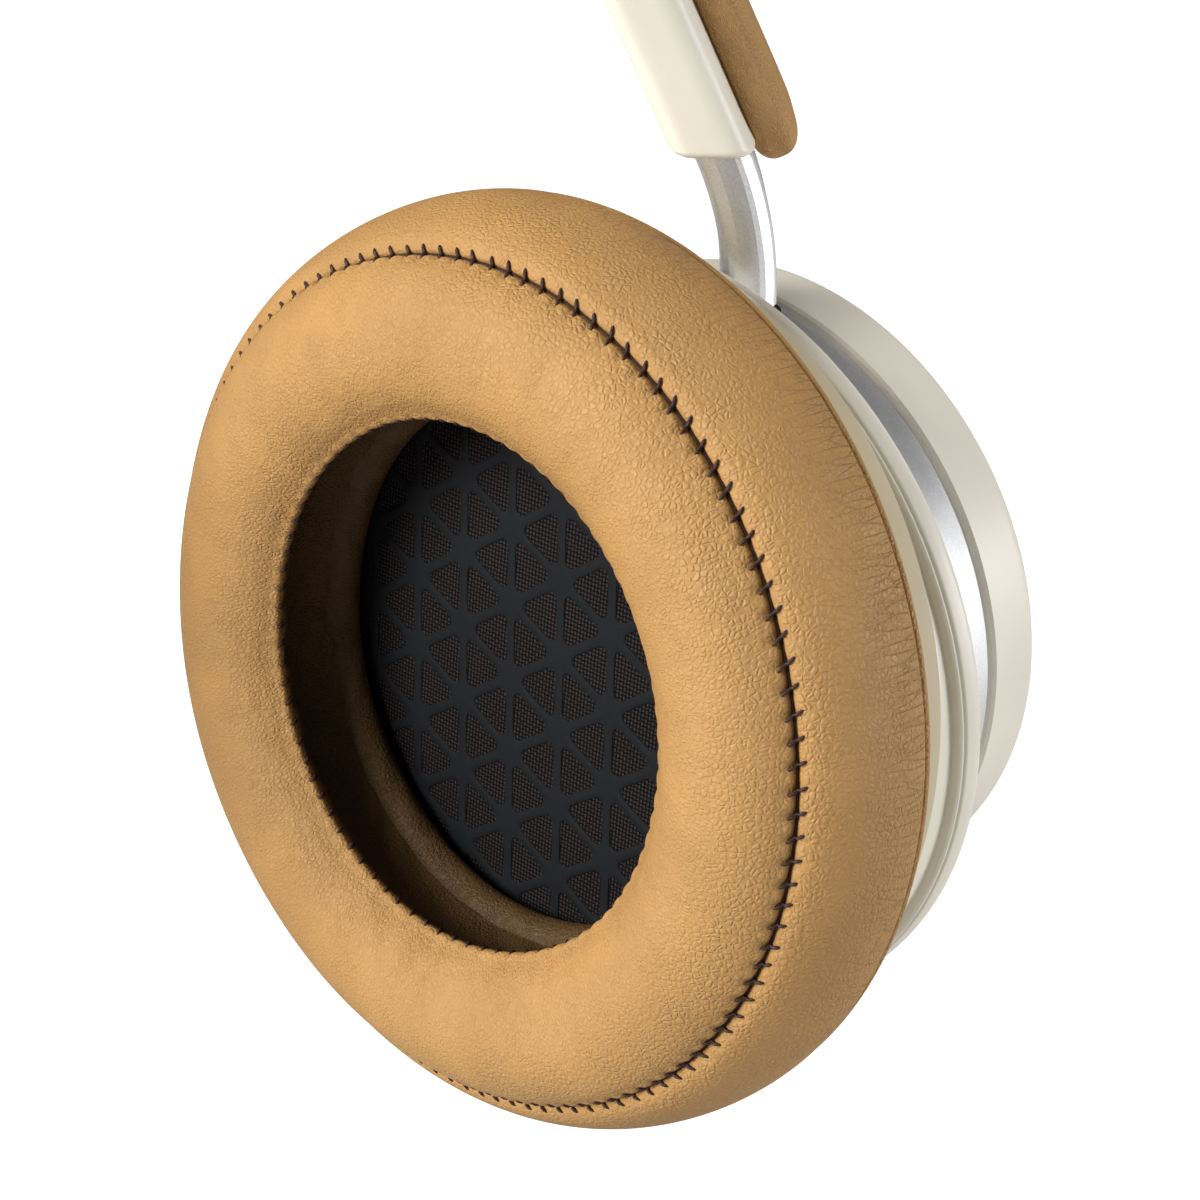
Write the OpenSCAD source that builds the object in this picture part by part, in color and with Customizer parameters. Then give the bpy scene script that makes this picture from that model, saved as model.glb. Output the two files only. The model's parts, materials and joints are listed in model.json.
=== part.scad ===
// Over ear headphones: a padded band, two sliding arms, two round cups and two tilting ear units.
// Row frame: X runs from ear to ear, Y from front to back, Z up. The origin is under the middle
// of the headphones, at the height of the lowest point of the ear pads. Millimetres and degrees.

/* [Stance] */
// Height of the cup centres above the lowest point
cup_height = 44.92; // [44:0.01:50]
// How far the band plane lies behind the middle of the model
band_y = 5.87; // [0:0.01:15]
// Distance of each swivel axis from the middle plane
arm_x = 72; // [66:0.5:76]
// Turn of the cups from facing inward towards facing forward
cup_turn = 46.5; // [0:0.5:50]
// Tilt of the ear units, top edge backward
ear_tilt = 7.2; // [-7:0.1:7.2]

/* [Band] */
// Lean of the band legs from the vertical
leg_lean = 24.5; // [20:0.5:28]
// Radius of the band's top arc, at the middle of the shell
arc_r = 52; // [48:0.5:56]
// Thickness of the band shell
shell_t = 7.6; // [7.2:0.1:9]
// Width of the band shell, front to back
shell_w = 30; // [26:0.5:36]
// Thickness of the leather cover on the band's outer side
cover_t = 3.9; // [3:0.1:7]
// Width of the leather cover
cover_w = 24; // [14:0.5:26]
// Thickness of the cushion under the top of the band
cushion_t = 7; // [5:0.5:10]
// Height of the band ends above the cup centres
band_end = 55.4; // [52:0.1:58]

/* [Arm] */
// Thickness of the arm, ear to ear
arm_t = 5.4; // [4.6:0.1:5.6]
// Width of the arm, front to back
arm_w = 10; // [8:0.5:10.5]
// Radius of the bend in the arm's neck
neck_r = 36; // [30:1:42]
// Height of the start of the bend above the cup centre
neck_start = 38.5; // [38:0.1:40]
// Length of the straight arm blade inside the band leg
blade_len = 44; // [38:1:45]

/* [Cup] */
// Outer radius of the front housing
housing_r = 42.5; // [41:0.1:44]
// Outer radius of the ball-shaped shoulder that the ear unit tilts on
ball_r = 41.2; // [40:0.1:42]
// Outer radius of the rear cap
cap_r = 35.8; // [34:0.1:38]
// Place of the cap's front edge behind the tilt axis
cap_front = 12.3; // [11:0.1:14]
// Place of the cap's outer face behind the tilt axis
cap_back = 20.2; // [18:0.1:24]
// Sideways offset of the swivel axis from the cup centre, towards the front
swivel_off = 7; // [4:0.5:8]
// Distance of the swivel axis behind the tilt axis
swivel_back = 6.2; // [6:0.1:6.6]
// Radius of the swivel pin
pin_r = 2; // [1.8:0.1:2.2]

/* [Ear unit] */
// Place of the pad's rear face in front of the tilt axis
pad_rear = 16.3; // [15:0.1:18]
// Place of the outer seam's plane in front of the tilt axis
seam_front = 28.8; // [27:0.1:31]
// Radius of the outer seam
seam_r = 43; // [41:0.1:45]
// Radius of the opening in the pad
opening_r = 26.8; // [25:0.1:29]
// Largest radius of the pad
pad_r = 47.8; // [46:0.1:50]
// Side of the triangles in the grille lattice
cell = 7.1; // [6:0.1:9]
// Width of the lattice bars
bar = 1.2; // [0.8:0.1:1.6]

/* [Hidden] */

$fn = 96;
cream = [0.94, 0.91, 0.84];
caramel = [0.74, 0.52, 0.3];
silver = [0.82, 0.82, 0.83];
black = [0.13, 0.13, 0.14];
steel = [0.62, 0.62, 0.64];
green = [0.1, 0.35, 0.2];

run = 0.05;          // radial clearance of a running fit

// Place of the arm's bend end, where the straight leg line starts
leg_x = arm_x - neck_r * (1 - cos(leg_lean));
leg_z = cup_height + neck_start + neck_r * sin(leg_lean);
// Length of the straight leg, from there to the top arc
leg_len = (leg_x - arc_r * cos(leg_lean)) / sin(leg_lean);
arc_z = leg_z + leg_len * cos(leg_lean) - arc_r * sin(leg_lean);
end_z = cup_height + band_end;

// Centre of the right cup, on its tilt axis, worked back from the swivel axis
cup_x = arm_x - swivel_off * sin(cup_turn) - swivel_back * cos(cup_turn);
cup_y = band_y + swivel_off * cos(cup_turn) - swivel_back * sin(cup_turn);

// Arm pocket and guide sleeve
guide_wall = 0.4;
guide_from = 6.6;
guide_len = 8;
pocket_t = arm_t + 0.5;
pocket_w = arm_w + 0.6;
pocket_end = blade_len + 1.5;

// Steel strip and cable in the band
strip_t = 0.8;
strip_w = 12;

// Cup stack
housing_step = -2.3;     // front edge of the housing's outer band
housing_back = 1;        // rear face of the housing
ball_front = -9.6;       // front edge of the ball-shaped shoulder
wall = 1.6;
waist_in = 34;
waist_front_r = 37.6;
waist_back_r = 35.4;
plate_z = 4.4;
plate_t = 1.4;
bush_r = 3.4;
bush_low = 21;
bush_top = 35.9;
port_z = 6.4;            // middle of the waist, where ports and buttons sit
disc_r = 30.5;
disc_t = 1.2;
jack_r = 1.8;
jack_len = 12;
jack_face = 35.6;
post_circle = 25;        // posts that carry the cap
post_angles = [60, 180, 300];
post_r = 3;
bolt_r = 1;
power_angle = -38;       // places on the rim, as angles around the cup axis
call_angle = -14;
jack_angle = -90;
usb_angle = -66;
usb_len = 9;
usb_w = 3.3;
key_from = 32.4;
key_h = 4.8;
collar_h = 0.8;
mic_angle = 205;
power_len = 10;
call_len = 8;
key_w = 4;
key_play = 0.16;
socket_r = 3.2;
mic_r = 1.6;

// Tilt bearing
tilt_r = 1.5;
lug_r = 3.6;
fixed_lug = 26.2;        // inner face of the fixed lugs
lug_t = 3;
ear_lug = 29.5;          // inner face of the ear unit's lugs
ear_lug_t = 2.7;

// Ear unit stack
web_t = 1.9;
skirt_r = 39;
lip_r = 41.7;
lip_back = -8;
groove_t = 1.2;          // web thickness under the groove that takes the shoulder
skirt_back = -5.5;
baffle_t = 2;
baffle_r = 34.7;
grille_r = 30.5;
grille_t = 0.8;
cloth_t = 0.3;
driver_r = 20;
frame_screw_circle = 32.7;
frame_screw_r = 0.9;

// ---------- shared helpers ----------

// Points of an arc about the origin, from angle a0 to a1
function arc(r, a0, a1, n = 16) =
    [for (i = [0:n]) r * [cos(a0 + (a1 - a0) * i / n), sin(a0 + (a1 - a0) * i / n)]];

// Points of an arc on the ball about the tilt axis, between two places along the cup axis
function ball_arc(r, z0, z1, n = 12) = arc(r, asin(z0 / r), asin(z1 / r), n);

// Rounded rectangle between two corners, with one corner radius
function corner(c, r, a0, n = 6) = [for (i = [0:n]) c + r * [cos(a0 + 90 * i / n), sin(a0 + 90 * i / n)]];
function round_rect(x0, y0, x1, y1, r) = concat(
    corner([x1 - r, y1 - r], r, 0),
    corner([x0 + r, y1 - r], r, 90),
    corner([x0 + r, y0 + r], r, 180),
    corner([x1 - r, y0 + r], r, 270)
);

// Rectangle with its outer corners (high x) rounded
function crown_rect(x0, y0, x1, y1, r) = concat(
    [[x0, y0]],
    corner([x1 - r, y0 + r], r, 270),
    corner([x1 - r, y1 - r], r, 0),
    [[x0, y1]]
);

// Closed Catmull-Rom curve through a few key points
function spline_at(p, i, t) =
    let (n = len(p), a = p[(i + n - 1) % n], b = p[i], c = p[(i + 1) % n], d = p[(i + 2) % n])
    0.5 * (2 * b + t * (c - a) + t * t * (2 * a - 5 * b + 4 * c - d) + t * t * t * (3 * b - a - 3 * c + d));
function smooth(p, steps) = [for (i = [0:len(p) - 1]) for (k = [0:steps - 1]) spline_at(p, i, k / steps)];

// Both sides come from one set of modules: the left is the mirror image of the right
module side(left) {
    if (left) mirror([1, 0, 0]) children();
    else children();
}

// Cup frame: Z outward along the cup axis, Y up, origin on the tilt axis
module in_cup(left) {
    side(left) translate([cup_x, cup_y, cup_height]) rotate([90, 0, 90 + cup_turn]) children();
}

// Ear frame: the cup frame tilted about its X axis
module in_ear(left) {
    in_cup(left) rotate([ear_tilt, 0, 0]) children();
}

// Leg frame: Z up along the leg, X outward, Y back, origin at the end of the arm's bend
module in_leg(left) {
    side(left) translate([leg_x, band_y, leg_z]) rotate([0, -leg_lean, 0]) children();
}

// Arm frame: origin where the swivel axis crosses the height of the cup centre
module in_arm(left) {
    side(left) translate([arm_x, band_y, cup_height]) children();
}

// On the rim of the cup, X pointing out at an angle around the cup axis
module at_rim(angle, z) {
    rotate([0, 0, angle]) translate([0, 0, z]) rotate([0, 90, 0]) children();
}

// At each post of the cup's chassis
module at_posts() {
    for (a = post_angles) rotate([0, 0, a]) translate([post_circle, 0, 0]) children();
}

// At each screw of the ear unit
module at_frame_screws() {
    for (a = [45:90:315]) rotate([0, 0, a]) translate([frame_screw_circle, 0, 0]) children();
}

// Bearing lug: a round eye about X on a foot that reaches to a plate, at both ends of the tilt axis
module lugs(inner, thick, foot) {
    side_w = lug_r - 0.3;
    for (s = [-1, 1]) translate([s * (inner + thick / 2), 0, 0]) {
        rotate([0, 90, 0]) cylinder(r = lug_r, h = thick, center = true);
        translate([-thick / 2, -side_w, min(0, foot)]) cube([thick, 2 * side_w, abs(foot)]);
    }
}

// Cylinder on the swivel axis, in the cup's own frame
module on_swivel(radius, low, high) {
    translate([-swivel_off, low, swivel_back]) rotate([-90, 0, 0]) cylinder(r = radius, h = high - low);
}

module pill(length, width, height) {
    linear_extrude(height)
        polygon(round_rect(-width / 2, -length / 2, width / 2, length / 2, width / 2 - 0.05));
}

// Sweeps an outline in (radial, depth) over the top arc
module over_arc(from = 0, to = 180) {
    translate([0, band_y, arc_z]) rotate([90, 0, 0])
        rotate([0, 0, from]) rotate_extrude(angle = to - from) translate([arc_r, 0]) children();
}

// Sweeps the same outline down one leg
module down_leg(left, from, to) {
    in_leg(left) translate([0, 0, from]) linear_extrude(to - from) children();
}

// A band part follows the arc and both legs, and is cut level at the band ends
module band_sweep(low = -12) {
    intersection() {
        union() {
            over_arc(leg_lean, 180 - leg_lean) children();
            down_leg(false, low, leg_len) children();
            down_leg(true, low, leg_len) children();
        }
        translate([-150, -50 + band_y, end_z]) cube([300, 100, 200]);
    }
}

// ---------- band ----------

module arm_pocket(left) {
    in_leg(left) {
        translate([-pocket_t / 2, -pocket_w / 2, -12]) cube([pocket_t, pocket_w, 12 + pocket_end]);
        translate([-pocket_t / 2 - guide_wall / 2, -pocket_w / 2 - guide_wall / 2, guide_from])
            cube([pocket_t + guide_wall, pocket_w + guide_wall, guide_len]);
        // slot for the detent leaf beside the blade
        translate([-1.5, pocket_w / 2 - 0.3, guide_from + guide_len]) cube([3, 1.5, 20]);
    }
}

module band_shell() {
    groove_in = shell_t / 2 - strip_t - 0.05;
    groove_out = shell_t / 2 + 1;
    groove_half = strip_w / 2 + 0.1;
    color(cream) difference() {
        band_sweep() polygon(round_rect(-shell_t / 2, -shell_w / 2, shell_t / 2, shell_w / 2, 2.6));
        arm_pocket(false);
        arm_pocket(true);
        over_arc(leg_lean, 180 - leg_lean)
            polygon([[groove_in, -groove_half], [groove_out, -groove_half],
                     [groove_out, groove_half], [groove_in, groove_half]]);
        over_arc(leg_lean - 4, 184 - leg_lean)
            polygon([[-1.2, -1.6], [0.6, -1.6], [0.6, 1.6], [-1.2, 1.6]]);
    }
}

module band_cover() {
    low = shell_t / 2;
    color(caramel)
        band_sweep() polygon(crown_rect(low, -cover_w / 2, low + cover_t, cover_w / 2, 3));
}

module band_cushion() {
    color(caramel)
        over_arc(90 - 40, 90 + 40)
            polygon([for (p = crown_rect(shell_t / 2, -12, shell_t / 2 + cushion_t, 12, 4)) [-p[0], p[1]]]);
}

module band_spring() {
    color(steel)
        over_arc(leg_lean + 0.5, 179.5 - leg_lean)
            polygon([[shell_t / 2 - strip_t, -strip_w / 2], [shell_t / 2, -strip_w / 2],
                     [shell_t / 2, strip_w / 2], [shell_t / 2 - strip_t, strip_w / 2]]);
}

module band_cable() {
    color(black)
        over_arc(leg_lean, 180 - leg_lean)
            polygon([[-0.9, -1.3], [0.3, -1.3], [0.3, 1.3], [-0.9, 1.3]]);
}

// Sleeve in the mouth of the leg that the blade slides through
module guide(left) {
    outer_t = pocket_t + guide_wall;
    outer_w = pocket_w + guide_wall;
    inner_t = arm_t + 2 * run;
    inner_w = arm_w + 2 * run;
    color(black) in_leg(left) difference() {
        translate([-outer_t / 2, -outer_w / 2, guide_from]) cube([outer_t, outer_w, guide_len]);
        translate([-inner_t / 2, -inner_w / 2, guide_from - 1]) cube([inner_t, inner_w, guide_len + 2]);
    }
}

// Leaf spring that presses on the blade's edge
module detent(left) {
    color(steel) in_leg(left) translate([-1.4, pocket_w / 2 + 0.3, guide_from + guide_len + 0.3])
        cube([2.8, 0.4, 19]);
}

// ---------- arm ----------

module arm_outline() {
    polygon(round_rect(-arm_t / 2, -arm_w / 2, arm_t / 2, arm_w / 2, 2.4));
}

module arm(left) {
    color(silver) difference() {
        union() {
            in_leg(left) linear_extrude(blade_len) arm_outline();
            side(left) translate([arm_x - neck_r, band_y, cup_height + neck_start]) rotate([90, 0, 0])
                rotate_extrude(angle = leg_lean) translate([neck_r, 0]) arm_outline();
            in_arm(left) translate([0, 0, 37.6]) linear_extrude(neck_start - 37.6) arm_outline();
            in_arm(left) translate([0, 0, 36.5]) cylinder(r = 2.6, h = 1.2);
        }
        in_arm(left) translate([0, 0, 36]) cylinder(r = pin_r, h = 7);
    }
}

module swivel_pin(left) {
    color(steel) in_arm(left) difference() {
        translate([0, 0, 18.6]) cylinder(r = pin_r, h = 24.4);
        translate([0, 0, 19.6]) difference() {
            cylinder(r = pin_r + 1, h = 0.8);
            cylinder(r = pin_r - 0.5, h = 0.8);
        }
    }
}

module pin_clip(left) {
    color(steel) in_arm(left) translate([0, 0, 19.6]) difference() {
        cylinder(r = 3.8, h = 0.8);
        cylinder(r = pin_r - 0.5, h = 0.8);
        translate([-1, 0, -1]) cube([2, 5, 3]);
    }
}

// ---------- cup ----------

module swivel_bush(left) {
    color(black) in_cup(left) difference() {
        on_swivel(bush_r, bush_low, bush_top);
        on_swivel(pin_r + run, bush_low - 1, bush_top + 1);
    }
}

// Aluminium ring between the front housing and the cap
module waist_ring() {
    rotate_extrude() polygon([
        [waist_in, housing_back], [waist_front_r, housing_back],
        [waist_back_r, cap_front - 0.7], [waist_back_r - 0.5, cap_front - 0.7],
        [waist_back_r - 0.5, cap_front], [waist_in, cap_front]
    ]);
}

module waist(left) {
    bore_from = 30;
    color(silver) in_cup(left) difference() {
        waist_ring();
        on_swivel(bush_r, bush_low - 1, bush_top + 10);
        at_rim(power_angle, port_z) translate([0, 0, bore_from])
            pill(power_len + key_play, key_w + key_play, 12);
        if (!left) {
            at_rim(call_angle, port_z) translate([0, 0, bore_from])
                pill(call_len + key_play, key_w + key_play, 12);
            at_rim(jack_angle, port_z) translate([0, 0, bore_from]) cylinder(r = socket_r, h = 12);
            at_rim(usb_angle, port_z) translate([0, 0, bore_from]) pill(usb_len + 0.2, usb_w + 0.3, 12);
        }
        at_rim(mic_angle, port_z) translate([0, 0, bore_from]) cylinder(r = mic_r, h = 12);
    }
}

module housing(left) {
    color(cream) in_cup(left) rotate_extrude() polygon(concat(
        ball_arc(ball_r, ball_front, housing_step),
        [[housing_r - 0.5, housing_step], [housing_r - 0.1, housing_step + 0.5], [housing_r, -1.2]],
        [[housing_r, 0.2], [housing_r - 0.3, 0.8], [housing_r - 0.9, housing_back]],
        [[waist_in + 1, housing_back], [waist_in + 1, 0], [ball_r - wall, 0]],
        ball_arc(ball_r - wall, -0.2, ball_front)
    ));
}

// Chassis of the cup: carries the tilt lugs, the electronics and the cap
module mid_plate(left) {
    notch_w = 2 * bush_r + 1.6;
    color(black) in_cup(left) difference() {
        union() {
            translate([0, 0, plate_z]) cylinder(r = waist_in, h = plate_t);
            lugs(fixed_lug, lug_t, plate_z + plate_t / 2);
            at_posts() translate([0, 0, plate_z + plate_t / 2]) cylinder(r = post_r, h = 8.3);
        }
        translate([-swivel_off - notch_w / 2, 17, plate_z - 5]) cube([notch_w, 30, 20]);
        rotate([0, 90, 0]) cylinder(r = tilt_r, h = 80, center = true);
        at_posts() translate([0, 0, plate_z + 3]) cylinder(r = bolt_r, h = 20);
        at_rim(power_angle, port_z) translate([0, 0, 28]) pill(power_len + 2.2, key_w + 1.6, 20);
        if (!left) {
            at_rim(call_angle, port_z) translate([0, 0, 28]) pill(call_len + 2.2, key_w + 1.6, 20);
            at_rim(jack_angle, port_z) translate([0, 0, 20]) cylinder(r = socket_r + 0.2, h = 20);
            at_rim(usb_angle, port_z) translate([0, 0, 24]) pill(usb_len + 0.6, usb_w + 0.7, 20);
        }
    }
}

module cap(left) {
    inner = cap_r - 1.8;
    color(cream) in_cup(left) difference() {
        rotate_extrude() polygon(concat(
            [[inner, cap_front]],
            [[cap_r - 0.3, cap_front], [cap_r, cap_front + 0.3]],
            [for (a = [0:10:90]) [cap_r - 2 + 2 * cos(a), cap_back - 2 + 2 * sin(a)]],
            [[disc_r + 0.1, cap_back], [disc_r + 0.1, cap_back - disc_t], [0, cap_back - disc_t]],
            [[0, cap_back - disc_t - 1.6], [inner - 1, cap_back - disc_t - 1.6],
             [inner, cap_back - disc_t - 2.6]]
        ));
        at_posts() translate([0, 0, cap_back - 6]) cylinder(r = bolt_r + 0.1, h = 20);
    }
}

module cap_disc(left) {
    color(silver) in_cup(left) rotate_extrude() polygon([
        [0, cap_back - disc_t], [disc_r, cap_back - disc_t], [disc_r, cap_back - 0.5],
        [disc_r - 0.3, cap_back - 0.2], [0, cap_back - 0.2]
    ]);
}

module tilt_pins(left) {
    color(steel) in_cup(left) for (s = [-1, 1]) translate([s * (fixed_lug - 0.5), 0, 0])
        rotate([0, s * 90, 0]) cylinder(r = tilt_r, h = ear_lug + ear_lug_t - fixed_lug + 1);
}

// Three screws that hold the cap on the chassis posts
module cup_screws(left) {
    low = plate_z + 3;
    color(steel) in_cup(left) at_posts()
        translate([0, 0, low]) cylinder(r = bolt_r, h = cap_back - disc_t - 0.1 - low);
}

module mic_mesh(left) {
    color(steel) in_cup(left) at_rim(mic_angle, port_z)
        translate([0, 0, waist_in + 0.6]) cylinder(r = mic_r - 0.05, h = 1.6);
}

module rim_button(left, angle, length) {
    color(silver) in_cup(left) at_rim(angle, port_z) {
        translate([0, 0, key_from]) pill(length, key_w, key_h);
        translate([0, 0, key_from - 0.4]) pill(length + 1.2, key_w + 0.6, collar_h);
    }
}

module jack_socket(left) {
    color(black) in_cup(left) at_rim(jack_angle, port_z) difference() {
        translate([0, 0, 23]) cylinder(r = socket_r - 0.05, h = jack_face - 23);
        translate([0, 0, jack_face - jack_len]) cylinder(r = jack_r, h = jack_len + 1);
    }
}

module usb_port(left) {
    color(steel) in_cup(left) at_rim(usb_angle, port_z) difference() {
        translate([0, 0, 27.5]) pill(usb_len, usb_w, 8.3);
        translate([0, 0, 28.5]) pill(usb_len - 0.6, usb_w - 0.6, 9);
    }
    color(black) in_cup(left) at_rim(usb_angle, port_z) translate([0, 0, 28.4]) pill(6.6, 0.8, 6);
}

module circuit_board(left) {
    color(green) in_cup(left) difference() {
        translate([0, 0, 11]) cylinder(r = 30, h = 1.2);
        translate([-swivel_off - 7, 14, 8]) cube([14, 30, 8]);
        at_posts() translate([0, 0, 8]) cylinder(r = post_r + 0.3, h = 8);
    }
    color(black) in_cup(left) {
        translate([-6, -6, 12.2]) cube([9, 9, 1]);
        translate([8, -12, 12.2]) cube([6, 5, 0.8]);
        translate([-16, -14, 12.2]) cube([5, 7, 0.9]);
        translate([12, 6, 12.2]) cube([4, 4, 1.2]);
    }
}

module battery(left) {
    color(silver) in_cup(left) translate([-18, -26, plate_z + plate_t + 0.1])
        linear_extrude(6) polygon(round_rect(0, 0, 26, 38, 2));
}

// ---------- ear unit ----------

// Ring that carries the pad and wraps round the housing's ball-shaped shoulder
module carrier(left) {
    front = -pad_rear;
    web = front + web_t;
    groove = front + groove_t;
    color(cream) in_ear(left) difference() {
        rotate_extrude() polygon(concat(
            [[grille_r + 0.1, front], [45.6, front], [46, front + 0.6], [45.8, front + 2.4]],
            [[43.6, lip_back - 0.6], [43, lip_back], [sqrt(lip_r * lip_r - lip_back * lip_back), lip_back]],
            ball_arc(lip_r, lip_back, groove),
            ball_arc(skirt_r, groove, skirt_back),
            ball_arc(skirt_r - 1.3, skirt_back, web),
            [[grille_r + 0.1, web]]
        ));
        at_frame_screws() translate([0, 0, web - 1.1]) cylinder(r = frame_screw_r, h = 2);
    }
}

// Plate that carries the driver, with the ear unit's bearing lugs
module baffle(left) {
    front = -pad_rear + web_t;
    color(black) in_ear(left) difference() {
        union() {
            translate([0, 0, front]) cylinder(r = baffle_r, h = baffle_t);
            lugs(ear_lug, ear_lug_t, front + baffle_t / 2);
        }
        translate([0, 0, front - 1]) cylinder(r = driver_r - 1, h = baffle_t + 2);
        rotate([0, 90, 0]) cylinder(r = tilt_r + run, h = 80, center = true);
        at_frame_screws() translate([0, 0, front - 1]) cylinder(r = frame_screw_r, h = baffle_t + 2);
        for (a = [20:40:340])
            rotate([0, 0, a]) translate([24.5, 0, front - 1]) cylinder(r = 1.4, h = baffle_t + 2);
    }
}

// Doughnut pad: a crown from the opening out to the seam, and a fuller side behind it
module pad(left) {
    crest = -seam_front - 4.3;
    color(caramel) in_ear(left) rotate_extrude() polygon([for (p = smooth([
        [opening_r, -seam_front + 0.6],
        [opening_r + 2.2, crest + 1.4],
        [35.2, crest],
        [seam_r - 2.2, -seam_front - 2.1],
        [seam_r + 1.6, -seam_front + 1.4],
        [pad_r - 0.4, -pad_rear - 6.4],
        [pad_r - 0.4, -pad_rear - 1.6],
        [pad_r - 3.4, -pad_rear - 0.1],
        [37, -pad_rear - 0.02],
        [opening_r + 1.9, -pad_rear - 0.1],
        [opening_r + 1.1, -pad_rear - 2.2],
        [opening_r + 2.6, -pad_rear - 6]
    ], 5)) [p[0], min(p[1], -pad_rear)]]);
}

// Triangular lattice over the driver
module grille(left) {
    front = -pad_rear + web_t - cloth_t - grille_t;
    row = cell * sqrt(3) / 2;
    hole = (cell - bar * sqrt(3)) / sqrt(3);
    open_r = 27.2;
    color(black) in_ear(left) translate([0, 0, front]) linear_extrude(grille_t) difference() {
        circle(r = grille_r);
        for (i = [-5:5]) for (j = [-9:9]) {
            x = (i + 0.5) * row;
            y = j * cell / 2;
            odd = (i + j) % 2 != 0;
            shift = (odd ? -1 : 1) * row / 6;
            if (norm([x + shift, y]) < open_r - cell / 2.4)
                translate([x + shift, y]) rotate(odd ? 0 : 180) circle(r = hole, $fn = 3);
        }
    }
}

module grille_cloth(left) {
    color(black) in_ear(left)
        translate([0, 0, -pad_rear + web_t - cloth_t]) cylinder(r = grille_r, h = cloth_t);
}

module driver_basket(left) {
    z0 = -pad_rear + web_t + baffle_t;
    color(steel) in_ear(left) difference() {
        rotate_extrude() polygon([
            [driver_r - 2.5, z0], [driver_r + 2, z0], [driver_r + 2, z0 + 1.2], [driver_r, z0 + 1.2],
            [driver_r - 1, z0 + 3], [14, z0 + 5.2], [11.2, z0 + 5.2], [11.2, z0 + 4.2], [13.4, z0 + 4.2],
            [driver_r - 2.5, z0 + 2.4]
        ]);
        for (a = [0:45:315]) rotate([0, 0, a]) translate([16.4, 0, z0 - 1]) cylinder(r = 1.6, h = 8);
    }
}

module magnet(left) {
    z0 = -pad_rear + web_t + baffle_t + 1.4;
    color(steel) in_ear(left) translate([0, 0, z0]) cylinder(r = 11.1, h = 6.4);
}

module diaphragm(left) {
    z0 = -pad_rear + web_t + baffle_t;
    color([0.75, 0.7, 0.6]) in_ear(left) rotate_extrude() polygon([
        [0, z0 - 1.2], [5, z0 - 1], [9, z0 - 0.2], [13, z0 - 0.9], [17, z0 - 0.3], [17.4, z0 + 0.1],
        [17.4, z0 + 0.4], [17, z0 + 0.1], [13, z0 - 0.5], [9, z0 + 0.2], [5, z0 - 0.6], [0, z0 - 0.8]
    ]);
}

module baffle_screws(left) {
    web = -pad_rear + web_t;
    color(steel) in_ear(left) at_frame_screws() {
        translate([0, 0, web - 1]) cylinder(r = frame_screw_r, h = baffle_t + 1.3);
        translate([0, 0, web + baffle_t]) cylinder(r = 1.4, h = 0.9);
    }
}

// ---------- nodes ----------

band_shell();
band_cover();
band_cushion();
band_spring();
band_cable();
guide(false);  // right_guide
detent(false);  // right_detent
arm(false);  // right_arm
swivel_pin(false);  // right_swivel_pin
pin_clip(false);  // right_pin_clip
swivel_bush(false);  // right_swivel_bush
waist(false);  // right_waist
housing(false);  // right_housing
mid_plate(false);  // right_mid_plate
cap(false);  // right_cap
cap_disc(false);  // right_cap_disc
tilt_pins(false);  // right_tilt_pins
cup_screws(false);  // right_cup_screws
mic_mesh(false);  // right_mic_mesh
carrier(false);  // right_carrier
baffle(false);  // right_baffle
pad(false);  // right_pad
grille(false);  // right_grille
grille_cloth(false);  // right_grille_cloth
driver_basket(false);  // right_driver_basket
magnet(false);  // right_magnet
diaphragm(false);  // right_diaphragm
baffle_screws(false);  // right_baffle_screws
rim_button(false, power_angle, power_len);  // right_power_button
rim_button(false, call_angle, call_len);  // right_call_button
jack_socket(false);  // right_jack_socket
usb_port(false);  // right_usb_port
circuit_board(false);  // right_circuit_board
guide(true);  // left_guide
detent(true);  // left_detent
arm(true);  // left_arm
swivel_pin(true);  // left_swivel_pin
pin_clip(true);  // left_pin_clip
swivel_bush(true);  // left_swivel_bush
waist(true);  // left_waist
housing(true);  // left_housing
mid_plate(true);  // left_mid_plate
cap(true);  // left_cap
cap_disc(true);  // left_cap_disc
tilt_pins(true);  // left_tilt_pins
cup_screws(true);  // left_cup_screws
mic_mesh(true);  // left_mic_mesh
carrier(true);  // left_carrier
baffle(true);  // left_baffle
pad(true);  // left_pad
grille(true);  // left_grille
grille_cloth(true);  // left_grille_cloth
driver_basket(true);  // left_driver_basket
magnet(true);  // left_magnet
diaphragm(true);  // left_diaphragm
baffle_screws(true);  // left_baffle_screws
rim_button(true, power_angle, power_len);  // left_mode_button
battery(true);  // left_battery
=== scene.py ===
"""Looks of a pair of over ear headphones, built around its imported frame.

Places are in metres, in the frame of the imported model: X runs from ear to ear, Y to the back and Z up.
Each sub-assembly is a class that builds its own pieces, and each finish is a small class that builds
one material. The left side is the mirror image of the right one.
"""

import json
import logging
import math
from collections.abc import Callable, Sequence
from dataclasses import dataclass, field
from enum import Enum

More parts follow.
